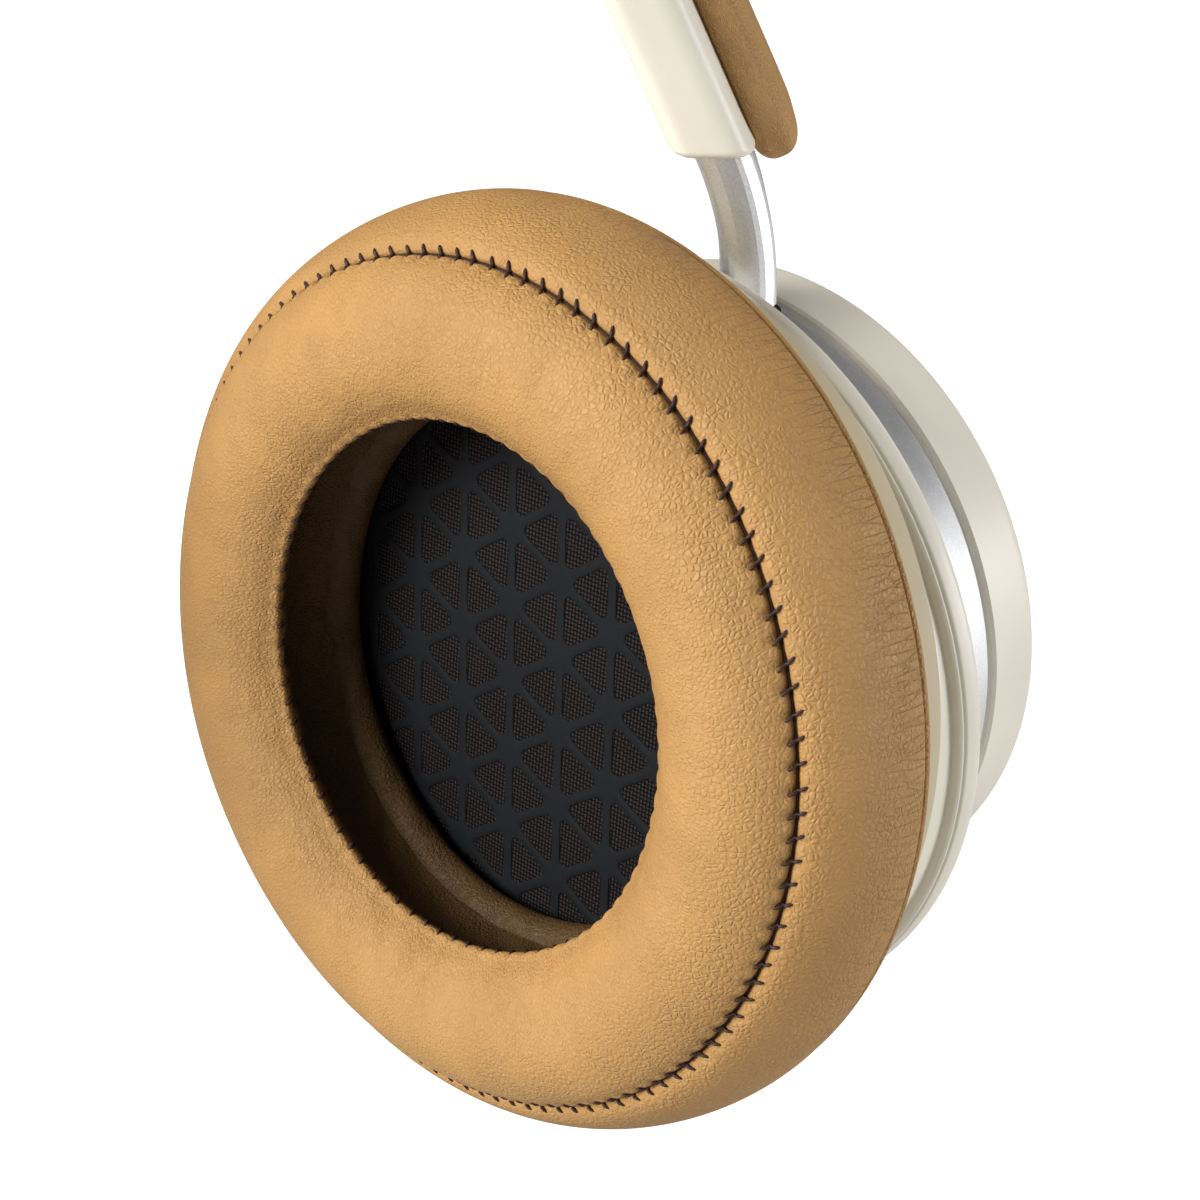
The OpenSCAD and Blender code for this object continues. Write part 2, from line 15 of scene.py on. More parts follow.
import bpy
import bmesh
import numpy as np
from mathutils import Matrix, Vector


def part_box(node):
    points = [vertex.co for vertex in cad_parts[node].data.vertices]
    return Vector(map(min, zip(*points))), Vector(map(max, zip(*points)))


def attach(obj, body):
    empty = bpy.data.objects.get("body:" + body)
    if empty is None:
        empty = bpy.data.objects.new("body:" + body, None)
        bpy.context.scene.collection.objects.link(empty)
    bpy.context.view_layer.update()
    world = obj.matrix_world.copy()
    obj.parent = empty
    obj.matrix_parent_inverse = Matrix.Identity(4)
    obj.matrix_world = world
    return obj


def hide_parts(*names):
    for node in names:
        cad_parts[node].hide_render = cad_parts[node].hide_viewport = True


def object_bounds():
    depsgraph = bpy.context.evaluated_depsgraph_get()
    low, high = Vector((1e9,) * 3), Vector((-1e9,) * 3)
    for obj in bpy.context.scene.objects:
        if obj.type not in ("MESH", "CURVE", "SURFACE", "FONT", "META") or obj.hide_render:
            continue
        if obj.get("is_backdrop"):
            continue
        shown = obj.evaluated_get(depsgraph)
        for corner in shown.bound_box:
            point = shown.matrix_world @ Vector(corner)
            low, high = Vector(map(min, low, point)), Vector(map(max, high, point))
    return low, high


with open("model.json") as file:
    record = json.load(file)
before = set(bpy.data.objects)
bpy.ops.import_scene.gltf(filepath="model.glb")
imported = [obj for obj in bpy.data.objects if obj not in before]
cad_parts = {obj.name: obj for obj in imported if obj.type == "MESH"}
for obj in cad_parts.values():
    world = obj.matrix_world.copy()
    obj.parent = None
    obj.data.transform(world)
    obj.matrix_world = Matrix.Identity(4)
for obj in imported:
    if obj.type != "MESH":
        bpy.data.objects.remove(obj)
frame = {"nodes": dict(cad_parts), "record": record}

log = logging.getLogger("headphones")
Array = np.ndarray
Color = tuple[float, float, float]
Socket = bpy.types.NodeSocket
MM = 0.001
TAU = 2 * math.pi


class Side(Enum):
    """One side of the headphones; the value is the sign of its X places."""

    RIGHT = 1
    LEFT = -1

    @property
    def prefix(self) -> str:
        """Word that the names of this side's nodes and bodies begin with."""
        return "right" if self is Side.RIGHT else "left"


# ---------------------------------------------------------------- frames


@dataclass(frozen=True)
class Seat:
    """A local frame on one side. The left one is the mirror image of the right one.

    The origin and the axes (rows: local X, Y, Z) are those of the right side.
    """

    origin: Array
    axes: Array
    side: Side

    def out(self, points: Array) -> Array:
        """Takes local points to the row frame.

        Args:
            points: Local places, one per row.

        Returns:
            The same places in the row frame.
        """
        world = self.origin + points @ self.axes
        return world * (self.side.value, 1, 1)


def record_joint(name: str) -> dict:
    """Returns the record's entry for a joint."""
    return next(j for j in frame["record"]["behaviour"]["joints"] if j["name"] == name)


def cup_seat(side: Side) -> Seat:
    """Returns the cup's frame: X along the tilt axis, Y up, Z outward along the cup's own axis."""
    hinge = record_joint("right_tilt")
    across = np.array(hinge["axis"], float)
    up = np.array((0.0, 0.0, 1.0))
    return Seat(np.array(hinge["pos_m"], float), np.array((across, up, np.cross(across, up))), side)


def ear_seat(side: Side) -> Seat:
    """Returns the ear unit's frame: the cup's frame turned about X to the unit's rest tilt."""
    cup = cup_seat(side)
    tilt = math.radians(-record_joint("right_tilt")["range_deg"][0] / 2)
    across, up, outward = cup.axes
    axes = np.array(
        (
            across,
            up * math.cos(tilt) + outward * math.sin(tilt),
            outward * math.cos(tilt) - up * math.sin(tilt),
        )
    )
    return Seat(cup.origin, axes, side)


# ---------------------------------------------------------------- mesh helpers


@dataclass
class Skin:
    """Points and faces of a mesh that is put together from grids."""

    points: list[Array] = field(default_factory=list)
    faces: list[Array] = field(default_factory=list)
    lay: list[Array] = field(default_factory=list)
    depth: list[Array] = field(default_factory=list)
    strain: list[Array] = field(default_factory=list)
    count: int = 0

    def add_grid(
        self,
        grid: Array,
        lay: Array | None = None,
        close_rows: bool = False,
        close_columns: bool = True,
        depth: Array | None = None,
        strain: Array | None = None,
    ) -> None:
        """Adds a grid of points, joined by quads.

        Args:
            grid: Points, shaped (rows, columns, 3).
            lay: Places in the material's own layout, in metres, or None for the points themselves.
            close_rows: Joins the last row to the first.
            close_columns: Joins the last column to the first.
            depth: How much painted shade each row gets, from 0 to 1, for the finish to darken; the pads use it inside
                their opening.
            strain: How much each row is pulled into fine creases, from 0 to 1.
        """
        rows, columns = grid.shape[:2]
        i, j = np.meshgrid(
            np.arange(rows - (not close_rows)), np.arange(columns - (not close_columns)), indexing="ij"
        )
        low, high = i * columns, (i + 1) % rows * columns
        right = (j + 1) % columns
        quads = np.stack((low + j, low + right, high + right, high + j), axis=-1).reshape(-1, 4)
        self.points.append(grid.reshape(-1, 3))
        self.lay.append((grid if lay is None else lay).reshape(-1, 3))
        self.depth.append(np.repeat(np.zeros(rows) if depth is None else depth, columns))
        self.strain.append(np.repeat(np.zeros(rows) if strain is None else strain, columns))
        self.faces.append(quads + self.count)
        self.count += rows * columns

    def add_cap(self, ring: Array) -> None:
        """Closes a ring of points with a fan about its middle.

        Args:
            ring: Points of the ring, in order.
        """
        columns = len(ring)
        j = np.arange(columns)
        middle = np.full(columns, columns)
        fan = np.stack((j, (j + 1) % columns, middle, middle), axis=-1)
        self.points.append(np.vstack((ring, ring.mean(axis=0))))
        self.lay.append(self.points[-1])
        self.depth.append(np.zeros(columns + 1))
        self.strain.append(np.zeros(columns + 1))
        self.faces.append(fan + self.count)
        self.count += columns + 1


def add_piece(
    name: str, skin: Skin, finish: "Finish", body: str, seat: Seat | None = None
) -> bpy.types.Object:
    """Makes an object from a skin, in place, with its finish, and lets it ride on a body.

    Args:
        name: Name of the piece.
        skin: Its points and faces, in the seat's frame.
        finish: Finish that dresses it.
        body: CAD body that it moves with.
        seat: Local frame of the points, or None for the row frame.

    Returns:
        The new object.
    """
    points = np.vstack(skin.points)
    lay = np.vstack(skin.lay)
    faces = [tuple(dict.fromkeys(f)) for f in np.vstack(skin.faces).tolist()]
    mesh = bpy.data.meshes.new(name)
    mesh.from_pydata((points if seat is None else seat.out(points)).tolist(), [], faces)
    layout = mesh.attributes.new("lay", "FLOAT_VECTOR", "POINT")
    layout.data.foreach_set("vector", lay.astype(np.float32).ravel())
    # The depth attribute carries painted shade for the finish to darken.
    for label, rows in (("depth", skin.depth), ("strain", skin.strain)):
        values = mesh.attributes.new(label, "FLOAT", "POINT")
        values.data.foreach_set("value", np.concatenate(rows).astype(np.float32))
    work = bmesh.new()
    work.from_mesh(mesh)
    bmesh.ops.remove_doubles(work, verts=work.verts, dist=0.002 * MM)
    bmesh.ops.recalc_face_normals(work, faces=work.faces)
    work.to_mesh(mesh)
    work.free()
    mesh.shade_smooth()
    mesh.materials.append(finish.material())
    piece = bpy.data.objects.new(name, mesh)
    bpy.context.scene.collection.objects.link(piece)
    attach(piece, body)
    log.info("%s: %d points on %s", name, len(mesh.vertices), body)
    return piece


def bezier(p0: Sequence[float], p1: Sequence[float], p2: Sequence[float], p3: Sequence[float], steps: int) -> Array:
    """Samples a cubic curve, closer together near its two ends.

    Args:
        p0: Start.
        p1: Handle of the start.
        p2: Handle of the end.
        p3: End.
        steps: Number of points.

    Returns:
        The points, one per row.
    """
    t = ((1 - np.cos(np.linspace(0, math.pi, steps))) / 2)[:, None]
    a, b, c, d = (np.array(p, float) for p in (p0, p1, p2, p3))
    return a * (1 - t) ** 3 + 3 * b * t * (1 - t) ** 2 + 3 * c * t * t * (1 - t) + d * t**3


def revolve(outline: Array, turns: Array) -> Array:
    """Turns (radius, along) places about the local Z axis.

    Args:
        outline: Places, shaped (rows, 2) or (rows, columns, 2).
        turns: Angles of the columns.

    Returns:
        Points, shaped (rows, columns, 3).
    """
    grid = outline if outline.ndim == 3 else np.repeat(outline[:, None], len(turns), axis=1)
    return np.stack((grid[..., 0] * np.cos(turns), grid[..., 0] * np.sin(turns), grid[..., 1]), axis=-1)


def full_turn(count: int) -> Array:
    """Returns evenly spread angles round one turn."""
    return np.arange(count) * TAU / count


def arc_length(outline: Array) -> Array:
    """Returns the distance along a line of points to each of them."""
    return np.concatenate(((0.0,), np.cumsum(np.linalg.norm(np.diff(outline, axis=0), axis=1))))


def bump_of(distance: Array, width: float) -> Array:
    """Returns a bell curve of height 1 over a distance."""
    return np.exp(-((distance / width) ** 2))


def waves(turns: Array, along: Array, orders: range, lean: float, seed: int) -> Array:
    """Irregular folds that close round a ring.

    Args:
        turns: Angles, one per column.
        along: Distance across the folds, one per row.
        orders: Whole numbers of waves in one turn.
        lean: How fast the folds drift round with the distance, in radians per metre.
        seed: Seed of the random phases.

    Returns:
        Values of about -1 to 1, shaped (rows, columns).
    """
    random = np.random.default_rng(seed)
    total = np.zeros((len(along), len(turns)))
    for order in orders:
        phase, drift, size = random.uniform(0, TAU), random.normal(0, lean), random.uniform(0.4, 1)
        total += size * np.cos(order * turns[None, :] + phase + drift * along[:, None])
    return total / math.sqrt(len(orders))


# ---------------------------------------------------------------- node helpers


class Graph:
    """Short way to add and join the nodes of one node tree."""

    def __init__(self, tree: bpy.types.NodeTree) -> None:
        """Wraps a node tree."""
        self.tree = tree

    def add(self, kind: str, settings: dict | None = None, **values: object) -> bpy.types.Node:
        """Adds a node.

        Args:
            kind: Node type.
            settings: Node properties to set.
            **values: Input sockets, with _ for a space: a number, a colour or a socket to join.

        Returns:
            The node.
        """
        node = self.tree.nodes.new(kind)
        for key, value in (settings or {}).items():
            setattr(node, key, value)
        for key, value in values.items():
            socket = node.inputs[int(key[1:])] if key[1:].isdigit() else node.inputs[key.replace("_", " ")]
            if isinstance(value, Socket):
                self.tree.links.new(value, socket)
            else:
                socket.default_value = value
        return node

    def math(self, operation: str, *terms: object) -> Socket:
        """Adds a Math node and returns its result."""
        values = {f"i{n}": term for n, term in enumerate(terms)}
        return self.add("ShaderNodeMath", {"operation": operation}, **values).outputs[0]

    def ramp(self, value: Socket, low: float, high: float, to_low: float = 0, to_high: float = 1) -> Socket:
        """Maps a value from one range to another, smoothly and clamped, and returns the result."""
        node = self.add("ShaderNodeMapRange", {"interpolation_type": "SMOOTHSTEP"}, Value=value)
        for key, number in zip(("From Min", "From Max", "To Min", "To Max"), (low, high, to_low, to_high)):
            node.inputs[key].default_value = number
        return node.outputs["Result"]

    def join(self, value: Socket, node: bpy.types.Node, name: str) -> None:
        """Joins a value to the named input of a node."""
        self.tree.links.new(value, node.inputs[name])

    def noise(self, place: Socket, scale: float, detail: float) -> Socket:
        """Adds a noise and returns its value."""
        return self.add("ShaderNodeTexNoise", Vector=place, Scale=scale, Detail=detail).outputs[0]

    def vector(self, operation: str, **values: object) -> Socket:
        """Adds a Vector Math node and returns its vector."""
        return self.add("ShaderNodeVectorMath", {"operation": operation}, **values).outputs[0]

    def attribute(self, name: str, output: str = "Fac") -> Socket:
        """Adds a reader of one of the mesh's own values and returns it."""
        return self.add("ShaderNodeAttribute", {"attribute_name": name}).outputs[output]

    def mix(self, factor: object, a: object, b: object) -> Socket:
        """Mixes two colours and returns the result."""
        node = self.add("ShaderNodeMix", {"data_type": "RGBA"})
        for index, value in ((0, factor), (6, a), (7, b)):
            if isinstance(value, Socket):
                self.tree.links.new(value, node.inputs[index])
            else:
                node.inputs[index].default_value = (*value, 1) if isinstance(value, tuple) else value
        return node.outputs[2]


GroupSocket = tuple[str, str]


def node_group(
    name: str, takes: Sequence[GroupSocket], gives: Sequence[GroupSocket]
) -> tuple[bpy.types.NodeTree, Graph, dict, bpy.types.Node]:
    """Starts a shader node group.

    Args:
        name: Name of the group.
        takes: Name and socket type of each input.
        gives: Name and socket type of each output.

    Returns:
        The group, its graph, its input sockets by name and its output node.
    """
    tree = bpy.data.node_groups.new(name, "ShaderNodeTree")
    for label, kind in takes:
        tree.interface.new_socket(label, in_out="INPUT", socket_type=kind)
    for label, kind in gives:
        tree.interface.new_socket(label, in_out="OUTPUT", socket_type=kind)
    graph = Graph(tree)
    inputs = graph.add("NodeGroupInput").outputs
    return tree, graph, {label: inputs[label] for label, _ in takes}, graph.add("NodeGroupOutput")


FLOAT, VECTOR = "NodeSocketFloat", "NodeSocketVector"


def build_pebble_group() -> bpy.types.NodeTree:
    """Builds the pebbled grain of leather: rounded cells between fine creases.

    Returns:
        A group with inputs Vector, Cells (per metre) and Warp, and outputs Height, Crease and Tone.
    """
    tree, graph, given, out = node_group(
        "pebble grain", (("Vector", VECTOR), ("Cells", FLOAT), ("Warp", FLOAT)), (
            ("Height", FLOAT), ("Crease", FLOAT), ("Tone", FLOAT)
        )
    )
    scaled = graph.vector("SCALE", Vector=given["Vector"], Scale=given["Cells"])
    bend = graph.add("ShaderNodeTexNoise", Vector=scaled, Scale=0.7, Detail=2.0).outputs["Color"]
    centred = graph.vector("SUBTRACT", i0=bend, i1=(0.5, 0.5, 0.5))
    pushed = graph.vector("SCALE", Vector=centred, Scale=given["Warp"])
    place = graph.vector("ADD", i0=scaled, i1=pushed)
    edge = graph.add(
        "ShaderNodeTexVoronoi", {"feature": "DISTANCE_TO_EDGE"}, Vector=place, Scale=1.0
    ).outputs["Distance"]
    patchy = graph.noise(scaled, 0.16, 2.0)
    cell = graph.ramp(edge, 0.0, 0.3)
    blend = graph.ramp(patchy, 0.4, 0.62)
    depth = graph.math("MULTIPLY", cell, graph.math("ADD", 0.7, graph.math("MULTIPLY", blend, 0.3)))
    ripple = graph.noise(scaled, 1.3, 2.0)
    height = graph.math("ADD", depth, graph.math("MULTIPLY", ripple, 0.5))
    graph.join(height, out, "Height")
    graph.join(graph.math("SUBTRACT", 1.0, graph.ramp(edge, 0.0, 0.1)), out, "Crease")
    tone = graph.noise(given["Vector"], 90.0, 3.0)
    graph.join(tone, out, "Tone")
    return tree


def build_grain_group() -> bpy.types.NodeTree:
    """Builds the fine grain of moulded, blasted and plated surfaces.

    Returns:
        A group with inputs Vector and Scale, and outputs Height, Speck and Tone.
    """
    tree, graph, given, out = node_group(
        "fine grain", (("Vector", VECTOR), ("Scale", FLOAT)), (("Height", FLOAT), ("Speck", FLOAT), ("Tone", FLOAT))
    )
    grain = graph.add(
        "ShaderNodeTexNoise", Vector=given["Vector"], Scale=given["Scale"], Detail=3.0, Roughness=0.65
    ).outputs[0]
    speck = graph.add("ShaderNodeTexVoronoi", Vector=given["Vector"], Scale=given["Scale"]).outputs["Distance"]
    tone = graph.noise(given["Vector"], 70.0, 4.0)
    graph.join(grain, out, "Height")
    graph.join(speck, out, "Speck")
    graph.join(tone, out, "Tone")
    return tree


def build_weave_group() -> bpy.types.NodeTree:
    """Builds a plain weave in the layout's own X and Y.

    Returns:
        A group with inputs Vector and Threads (per metre), and outputs Height and Over.
    """
    tree, graph, given, out = node_group(
        "plain weave", (("Vector", VECTOR), ("Threads", FLOAT)), (("Height", FLOAT), ("Over", FLOAT))
    )
    parts = graph.add("ShaderNodeSeparateXYZ", Vector=given["Vector"]).outputs
    u, v = (graph.math("MULTIPLY", parts[axis], given["Threads"]) for axis in (0, 1))

    def crown(value: Socket) -> Socket:
        """Rounded height of the threads that run across a value."""
        return graph.math("ABSOLUTE", graph.math("SINE", graph.math("MULTIPLY", value, math.pi)))

    turn = graph.math("ADD", graph.math("FLOOR", u), graph.math("FLOOR", v))
    over = graph.math("MODULO", graph.math("ABSOLUTE", turn), 2.0)
    warp, weft = crown(u), crown(v)
    upper = graph.math(
        "ADD", graph.math("MULTIPLY", warp, over), graph.math("MULTIPLY", weft, graph.math("SUBTRACT", 1.0, over))
    )
    lower = graph.math("MULTIPLY", warp, weft)
    graph.join(
        graph.math("ADD", graph.math("MULTIPLY", upper, 0.6), graph.math("MULTIPLY", lower, 0.4)), out, "Height"
    )
    graph.join(over, out, "Over")
    return tree


GROUPS: dict[str, bpy.types.NodeTree] = {}


def group_of(builder: Callable[[], bpy.types.NodeTree]) -> bpy.types.NodeTree:
    """Returns a node group, building it at its first use."""
    if builder.__name__ not in GROUPS:
        GROUPS[builder.__name__] = builder()
    return GROUPS[builder.__name__]


# ---------------------------------------------------------------- finishes


@dataclass(frozen=True)
class Finish:
    """Base of all finishes: makes one material and keeps it."""

    name: str
    color: Color
    roughness: float

    def material(self) -> bpy.types.Material:
        """Returns this finish's material, building it at its first use."""
        title = f"{self.name}_finish"
        found = bpy.data.materials.get(title)
        if found:
            return found
        made = bpy.data.materials.new(title)
        made.use_nodes = True
        graph = Graph(made.node_tree)
        shader = made.node_tree.nodes["Principled BSDF"]
        shader.inputs["Roughness"].default_value = self.roughness
        shader.inputs["Base Color"].default_value = (*self.color, 1)
        self.paint(graph, shader)
        return made

    def paint(self, graph: Graph, shader: bpy.types.Node) -> None:
        """Adds the nodes that vary the surface."""
        raise NotImplementedError

    def group(self, graph: Graph, builder: Callable[[], bpy.types.NodeTree], **values: object) -> bpy.types.Node:
        """Adds a shared node group to the material."""
        return graph.add("ShaderNodeGroup", {"node_tree": group_of(builder)}, **values)

    def relief(self, graph: Graph, shader: bpy.types.Node, height: Socket, depth: float) -> None:
        """Joins a height to the shader's normal.

        Args:
            graph: The material's graph.
            shader: The Principled BSDF.
            height: Height, from 0 to about 1.
            depth: Real depth of the relief, in metres.
        """
        bump = graph.add("ShaderNodeBump", Height=height, Distance=depth)
        graph.join(bump.outputs["Normal"], shader, "Normal")


def shade(color: Color, factor: float) -> Color:
    """Returns a colour made darker or lighter by a factor."""
    return tuple(min(1.0, channel * factor) for channel in color)


@dataclass(frozen=True)
class Leather(Finish):
    """Soft pebbled leather: a semi matt skin with fine creases, laid out by the piece's own layout."""

    cells: float = 1700.0
    depth: float = 0.078 * MM
    warp: float = 0.8
    # Painted shade: how dark the leather is made inside the pad's opening.
    deep_shade: float = 0.2
    crease_cells: float = 1150.0
    crease_stretch: float = 0.16
    crease_warp: float = 0.75
    # Painted shade in the creases: strength of the darker crease lines and their tone.
    pebble_line: float = 0.14
    crease_line: float = 0.34
    line_shade: float = 0.45
    gloss: float = 0.32

    def paint(self, graph: Graph, shader: bpy.types.Node) -> None:
        """Adds the pebbles, painted shade in the creases and inside the pad's opening, and the skin's sheen."""
        lay = graph.attribute("lay", "Vector")
        grain = self.group(graph, build_pebble_group, Vector=lay, Cells=self.cells, Warp=self.warp).outputs
        tone = graph.ramp(grain["Tone"], 0.3, 0.7)
        skin = graph.mix(tone, shade(self.color, 0.93), shade(self.color, 1.05))
        # Painted shade: the leather is darkened inside the pad's opening, by the depth attribute.
        inside_shade_amount = graph.attribute("depth")
        deep = graph.mix(inside_shade_amount, skin, shade(self.color, self.deep_shade))
        pulled = graph.vector("MULTIPLY", i0=lay, i1=(1.0, 1.0, self.crease_stretch))
        strained = graph.attribute("strain")
        pull = self.group(
            graph, build_pebble_group, Vector=pulled, Cells=self.crease_cells, Warp=self.crease_warp
        ).outputs
        cracks = graph.math("MULTIPLY", pull["Crease"], strained)
        # Painted shade: darker lines along the grain's creases and the strain creases.
        crease_shade_mask = graph.math(
            "MAXIMUM",
            graph.math("MULTIPLY", grain["Crease"], self.pebble_line),
            graph.math("MULTIPLY", cracks, self.crease_line),
        )
        crease_shaded = graph.mix(crease_shade_mask, deep, shade(self.color, self.line_shade))
        graph.join(crease_shaded, shader, "Base Color")
        graph.join(graph.ramp(grain["Crease"], 0.0, 1.0, self.roughness, self.roughness + 0.15), shader, "Roughness")
        self.relief(graph, shader, graph.math("SUBTRACT", grain["Height"], cracks), self.depth)
        shader.inputs["Specular IOR Level"].default_value = self.gloss


@dataclass(frozen=True)
class Moulded(Finish):
    """Moulded plastic with a fine, even texture."""

    grain: float = 5000.0
    depth: float = 0.012 * MM
    variation: float = 0.03
    gloss: float = 0.5

    def paint(self, graph: Graph, shader: bpy.types.Node) -> None:
        """Adds the texture and a slight unevenness of tone and gloss."""
        place = graph.add("ShaderNodeTexCoord").outputs["Object"]
        grain = self.group(graph, build_grain_group, Vector=place, Scale=self.grain).outputs
        tone = graph.ramp(grain["Tone"], 0.3, 0.7)
        color = graph.mix(tone, shade(self.color, 1 - self.variation), shade(self.color, 1 + self.variation))
        graph.join(color, shader, "Base Color")
        graph.join(
            graph.ramp(grain["Tone"], 0.3, 0.7, self.roughness - 0.03, self.roughness + 0.04), shader, "Roughness"
        )
        self.relief(graph, shader, grain["Height"], self.depth)
        shader.inputs["Specular IOR Level"].default_value = self.gloss


@dataclass(frozen=True)
class Metal(Finish):
    """Blasted, plated or brushed metal."""

    grain: float = 4000.0
    depth: float = 0.02 * MM

    def paint(self, graph: Graph, shader: bpy.types.Node) -> None:
        """Adds the blasted pits and the slight sparkle between them."""
        place = graph.add("ShaderNodeTexCoord").outputs["Object"]
        grain = self.group(graph, build_grain_group, Vector=place, Scale=self.grain).outputs
        sparkle = graph.ramp(grain["Speck"], 0.15, 0.75)
        color = graph.mix(sparkle, shade(self.color, 0.94), shade(self.color, 1.04))
        graph.join(color, shader, "Base Color")
        graph.join(
            graph.ramp(grain["Tone"], 0.25, 0.75, self.roughness - 0.04, self.roughness + 0.05), shader, "Roughness"
        )
        self.relief(graph, shader, grain["Height"], self.depth)
        shader.inputs["Metallic"].default_value = 1.0


@dataclass(frozen=True)
class Thread(Finish):
    """Twisted sewing thread."""

    twists: float = 1400.0
    depth: float = 0.03 * MM

    def paint(self, graph: Graph, shader: bpy.types.Node) -> None:
        """Adds the twist of the strands, with painted shade in its grooves and a painted highlight on its crests."""
        place = graph.add("ShaderNodeTexCoord").outputs["Object"]
        twist = graph.add(
            "ShaderNodeTexWave", {"bands_direction": "DIAGONAL"}, Vector=place, Scale=self.twists, Distortion=1.5
        ).outputs[1]
        # Painted shade in the twist's grooves and a painted highlight on its crests, in step with the relief.
        graph.join(graph.mix(twist, shade(self.color, 0.6), shade(self.color, 1.35)), shader, "Base Color")
        self.relief(graph, shader, twist, self.depth)


@dataclass(frozen=True)
class Cloth(Finish):
    """Plain woven cloth, with warp and weft of slightly different tones."""

    threads: float = 2200.0
    second: Color = (0.040, 0.030, 0.030)
    # Painted shade: near-black colour of the threads' low parts and the gaps between them.
    gap: Color = (0.0006, 0.0006, 0.0006)
    depth: float = 0.12 * MM
    gloss: float = 0.15

    def paint(self, graph: Graph, shader: bpy.types.Node) -> None:
        """Adds the weave, with painted shade on the threads' low parts and in the gaps between them."""
        lay = graph.attribute("lay", "Vector")
        weave = self.group(graph, build_weave_group, Vector=lay, Threads=self.threads).outputs
        grain = self.group(graph, build_grain_group, Vector=lay, Scale=self.threads * 1.7).outputs
        two = graph.mix(weave["Over"], self.color, self.second)
        worn = graph.mix(graph.ramp(grain["Tone"], 0.35, 0.75), two, shade(self.color, 1.6))
        # Painted shade: the low parts of the weave fade to the near-black gap colour.
        dark = graph.mix(graph.ramp(weave["Height"], 0.45, 0.9), self.gap, worn)
        graph.join(dark, shader, "Base Color")
        fibre = graph.math("ADD", weave["Height"], graph.math("MULTIPLY", grain["Height"], 0.5))
        self.relief(graph, shader, fibre, self.depth)
        shader.inputs["Specular IOR Level"].default_value = self.gloss


@dataclass(frozen=True)
class Finishes:
    """All finishes of the headphones."""

    leather: Leather = Leather("caramel_leather", (0.49, 0.272, 0.095), 0.5)
    cream: Moulded = Moulded("cream_plastic", (0.90, 0.85, 0.73), 0.4)
    # Painted shade and reflection: cream plastic made darker and warmer for the carrier, for the shade and the
    # leather's warm reflection on it.
    shaded_cream: Moulded = Moulded("shaded_cream_plastic", (0.60, 0.51, 0.34), 0.45)
    aluminium: Metal = Metal("satin_aluminium", (0.84, 0.84, 0.85), 0.46)
    spring: Metal = Metal("spring_steel", (0.55, 0.55, 0.57), 0.3, grain=1500.0)
    driver: Metal = Metal("driver_steel", (0.16, 0.16, 0.17), 0.38, grain=2500.0)
    black: Moulded = Moulded("black_plastic", (0.02, 0.02, 0.022), 0.45)
    thread: Thread = Thread("dark_thread", (0.045, 0.016, 0.012), 0.6)
    # Painted shadow: dark colour of the tube laid in the outer seam's gap.
    painted_seam_shadow: Moulded = Moulded("seam_shadow", (0.03, 0.012, 0.006), 0.8)
    cloth: Cloth = Cloth("black_cloth", (0.022, 0.018, 0.019), 0.9)
    lattice: Moulded = Moulded(
        "grille_print", (0.006, 0.007, 0.009), 0.75, grain=3500.0, depth=0.05 * MM, variation=0.12, gloss=0.2
    )
    film: Moulded = Moulded("driver_film", (0.60, 0.52, 0.38), 0.25)
    board: Moulded = Moulded("circuit_board", (0.02, 0.12, 0.05), 0.35)
    wrap: Moulded = Moulded("battery_wrap", (0.55, 0.56, 0.6), 0.3)

    def by_slot(self) -> dict[str, Finish]:
        """Returns the finish of each of the record's material slots."""
        found = (
            self.leather,
            self.cream,
            self.aluminium,
            self.spring,
            self.driver,
            self.black,
            self.cloth,
            self.lattice,
            self.film,
            self.board,
            self.wrap,
        )
        return {finish.name: finish for finish in found}


def dress_frame(finishes: Finishes) -> None:
    """Gives each CAD node the finish of its material slot.

    Args:
        finishes: The finishes.
    """
    slots = finishes.by_slot()
    for part in frame["record"]["subparts"]:
        node = frame["nodes"][part["node"]]
        material = slots[part["material_slot"]].material()
        if node.material_slots:
            for place in node.material_slots:
                place.material = material
        else:
            node.data.materials.append(material)
        log.info("%s: %s", part["node"], material.name)


# ---------------------------------------------------------------- ear pads


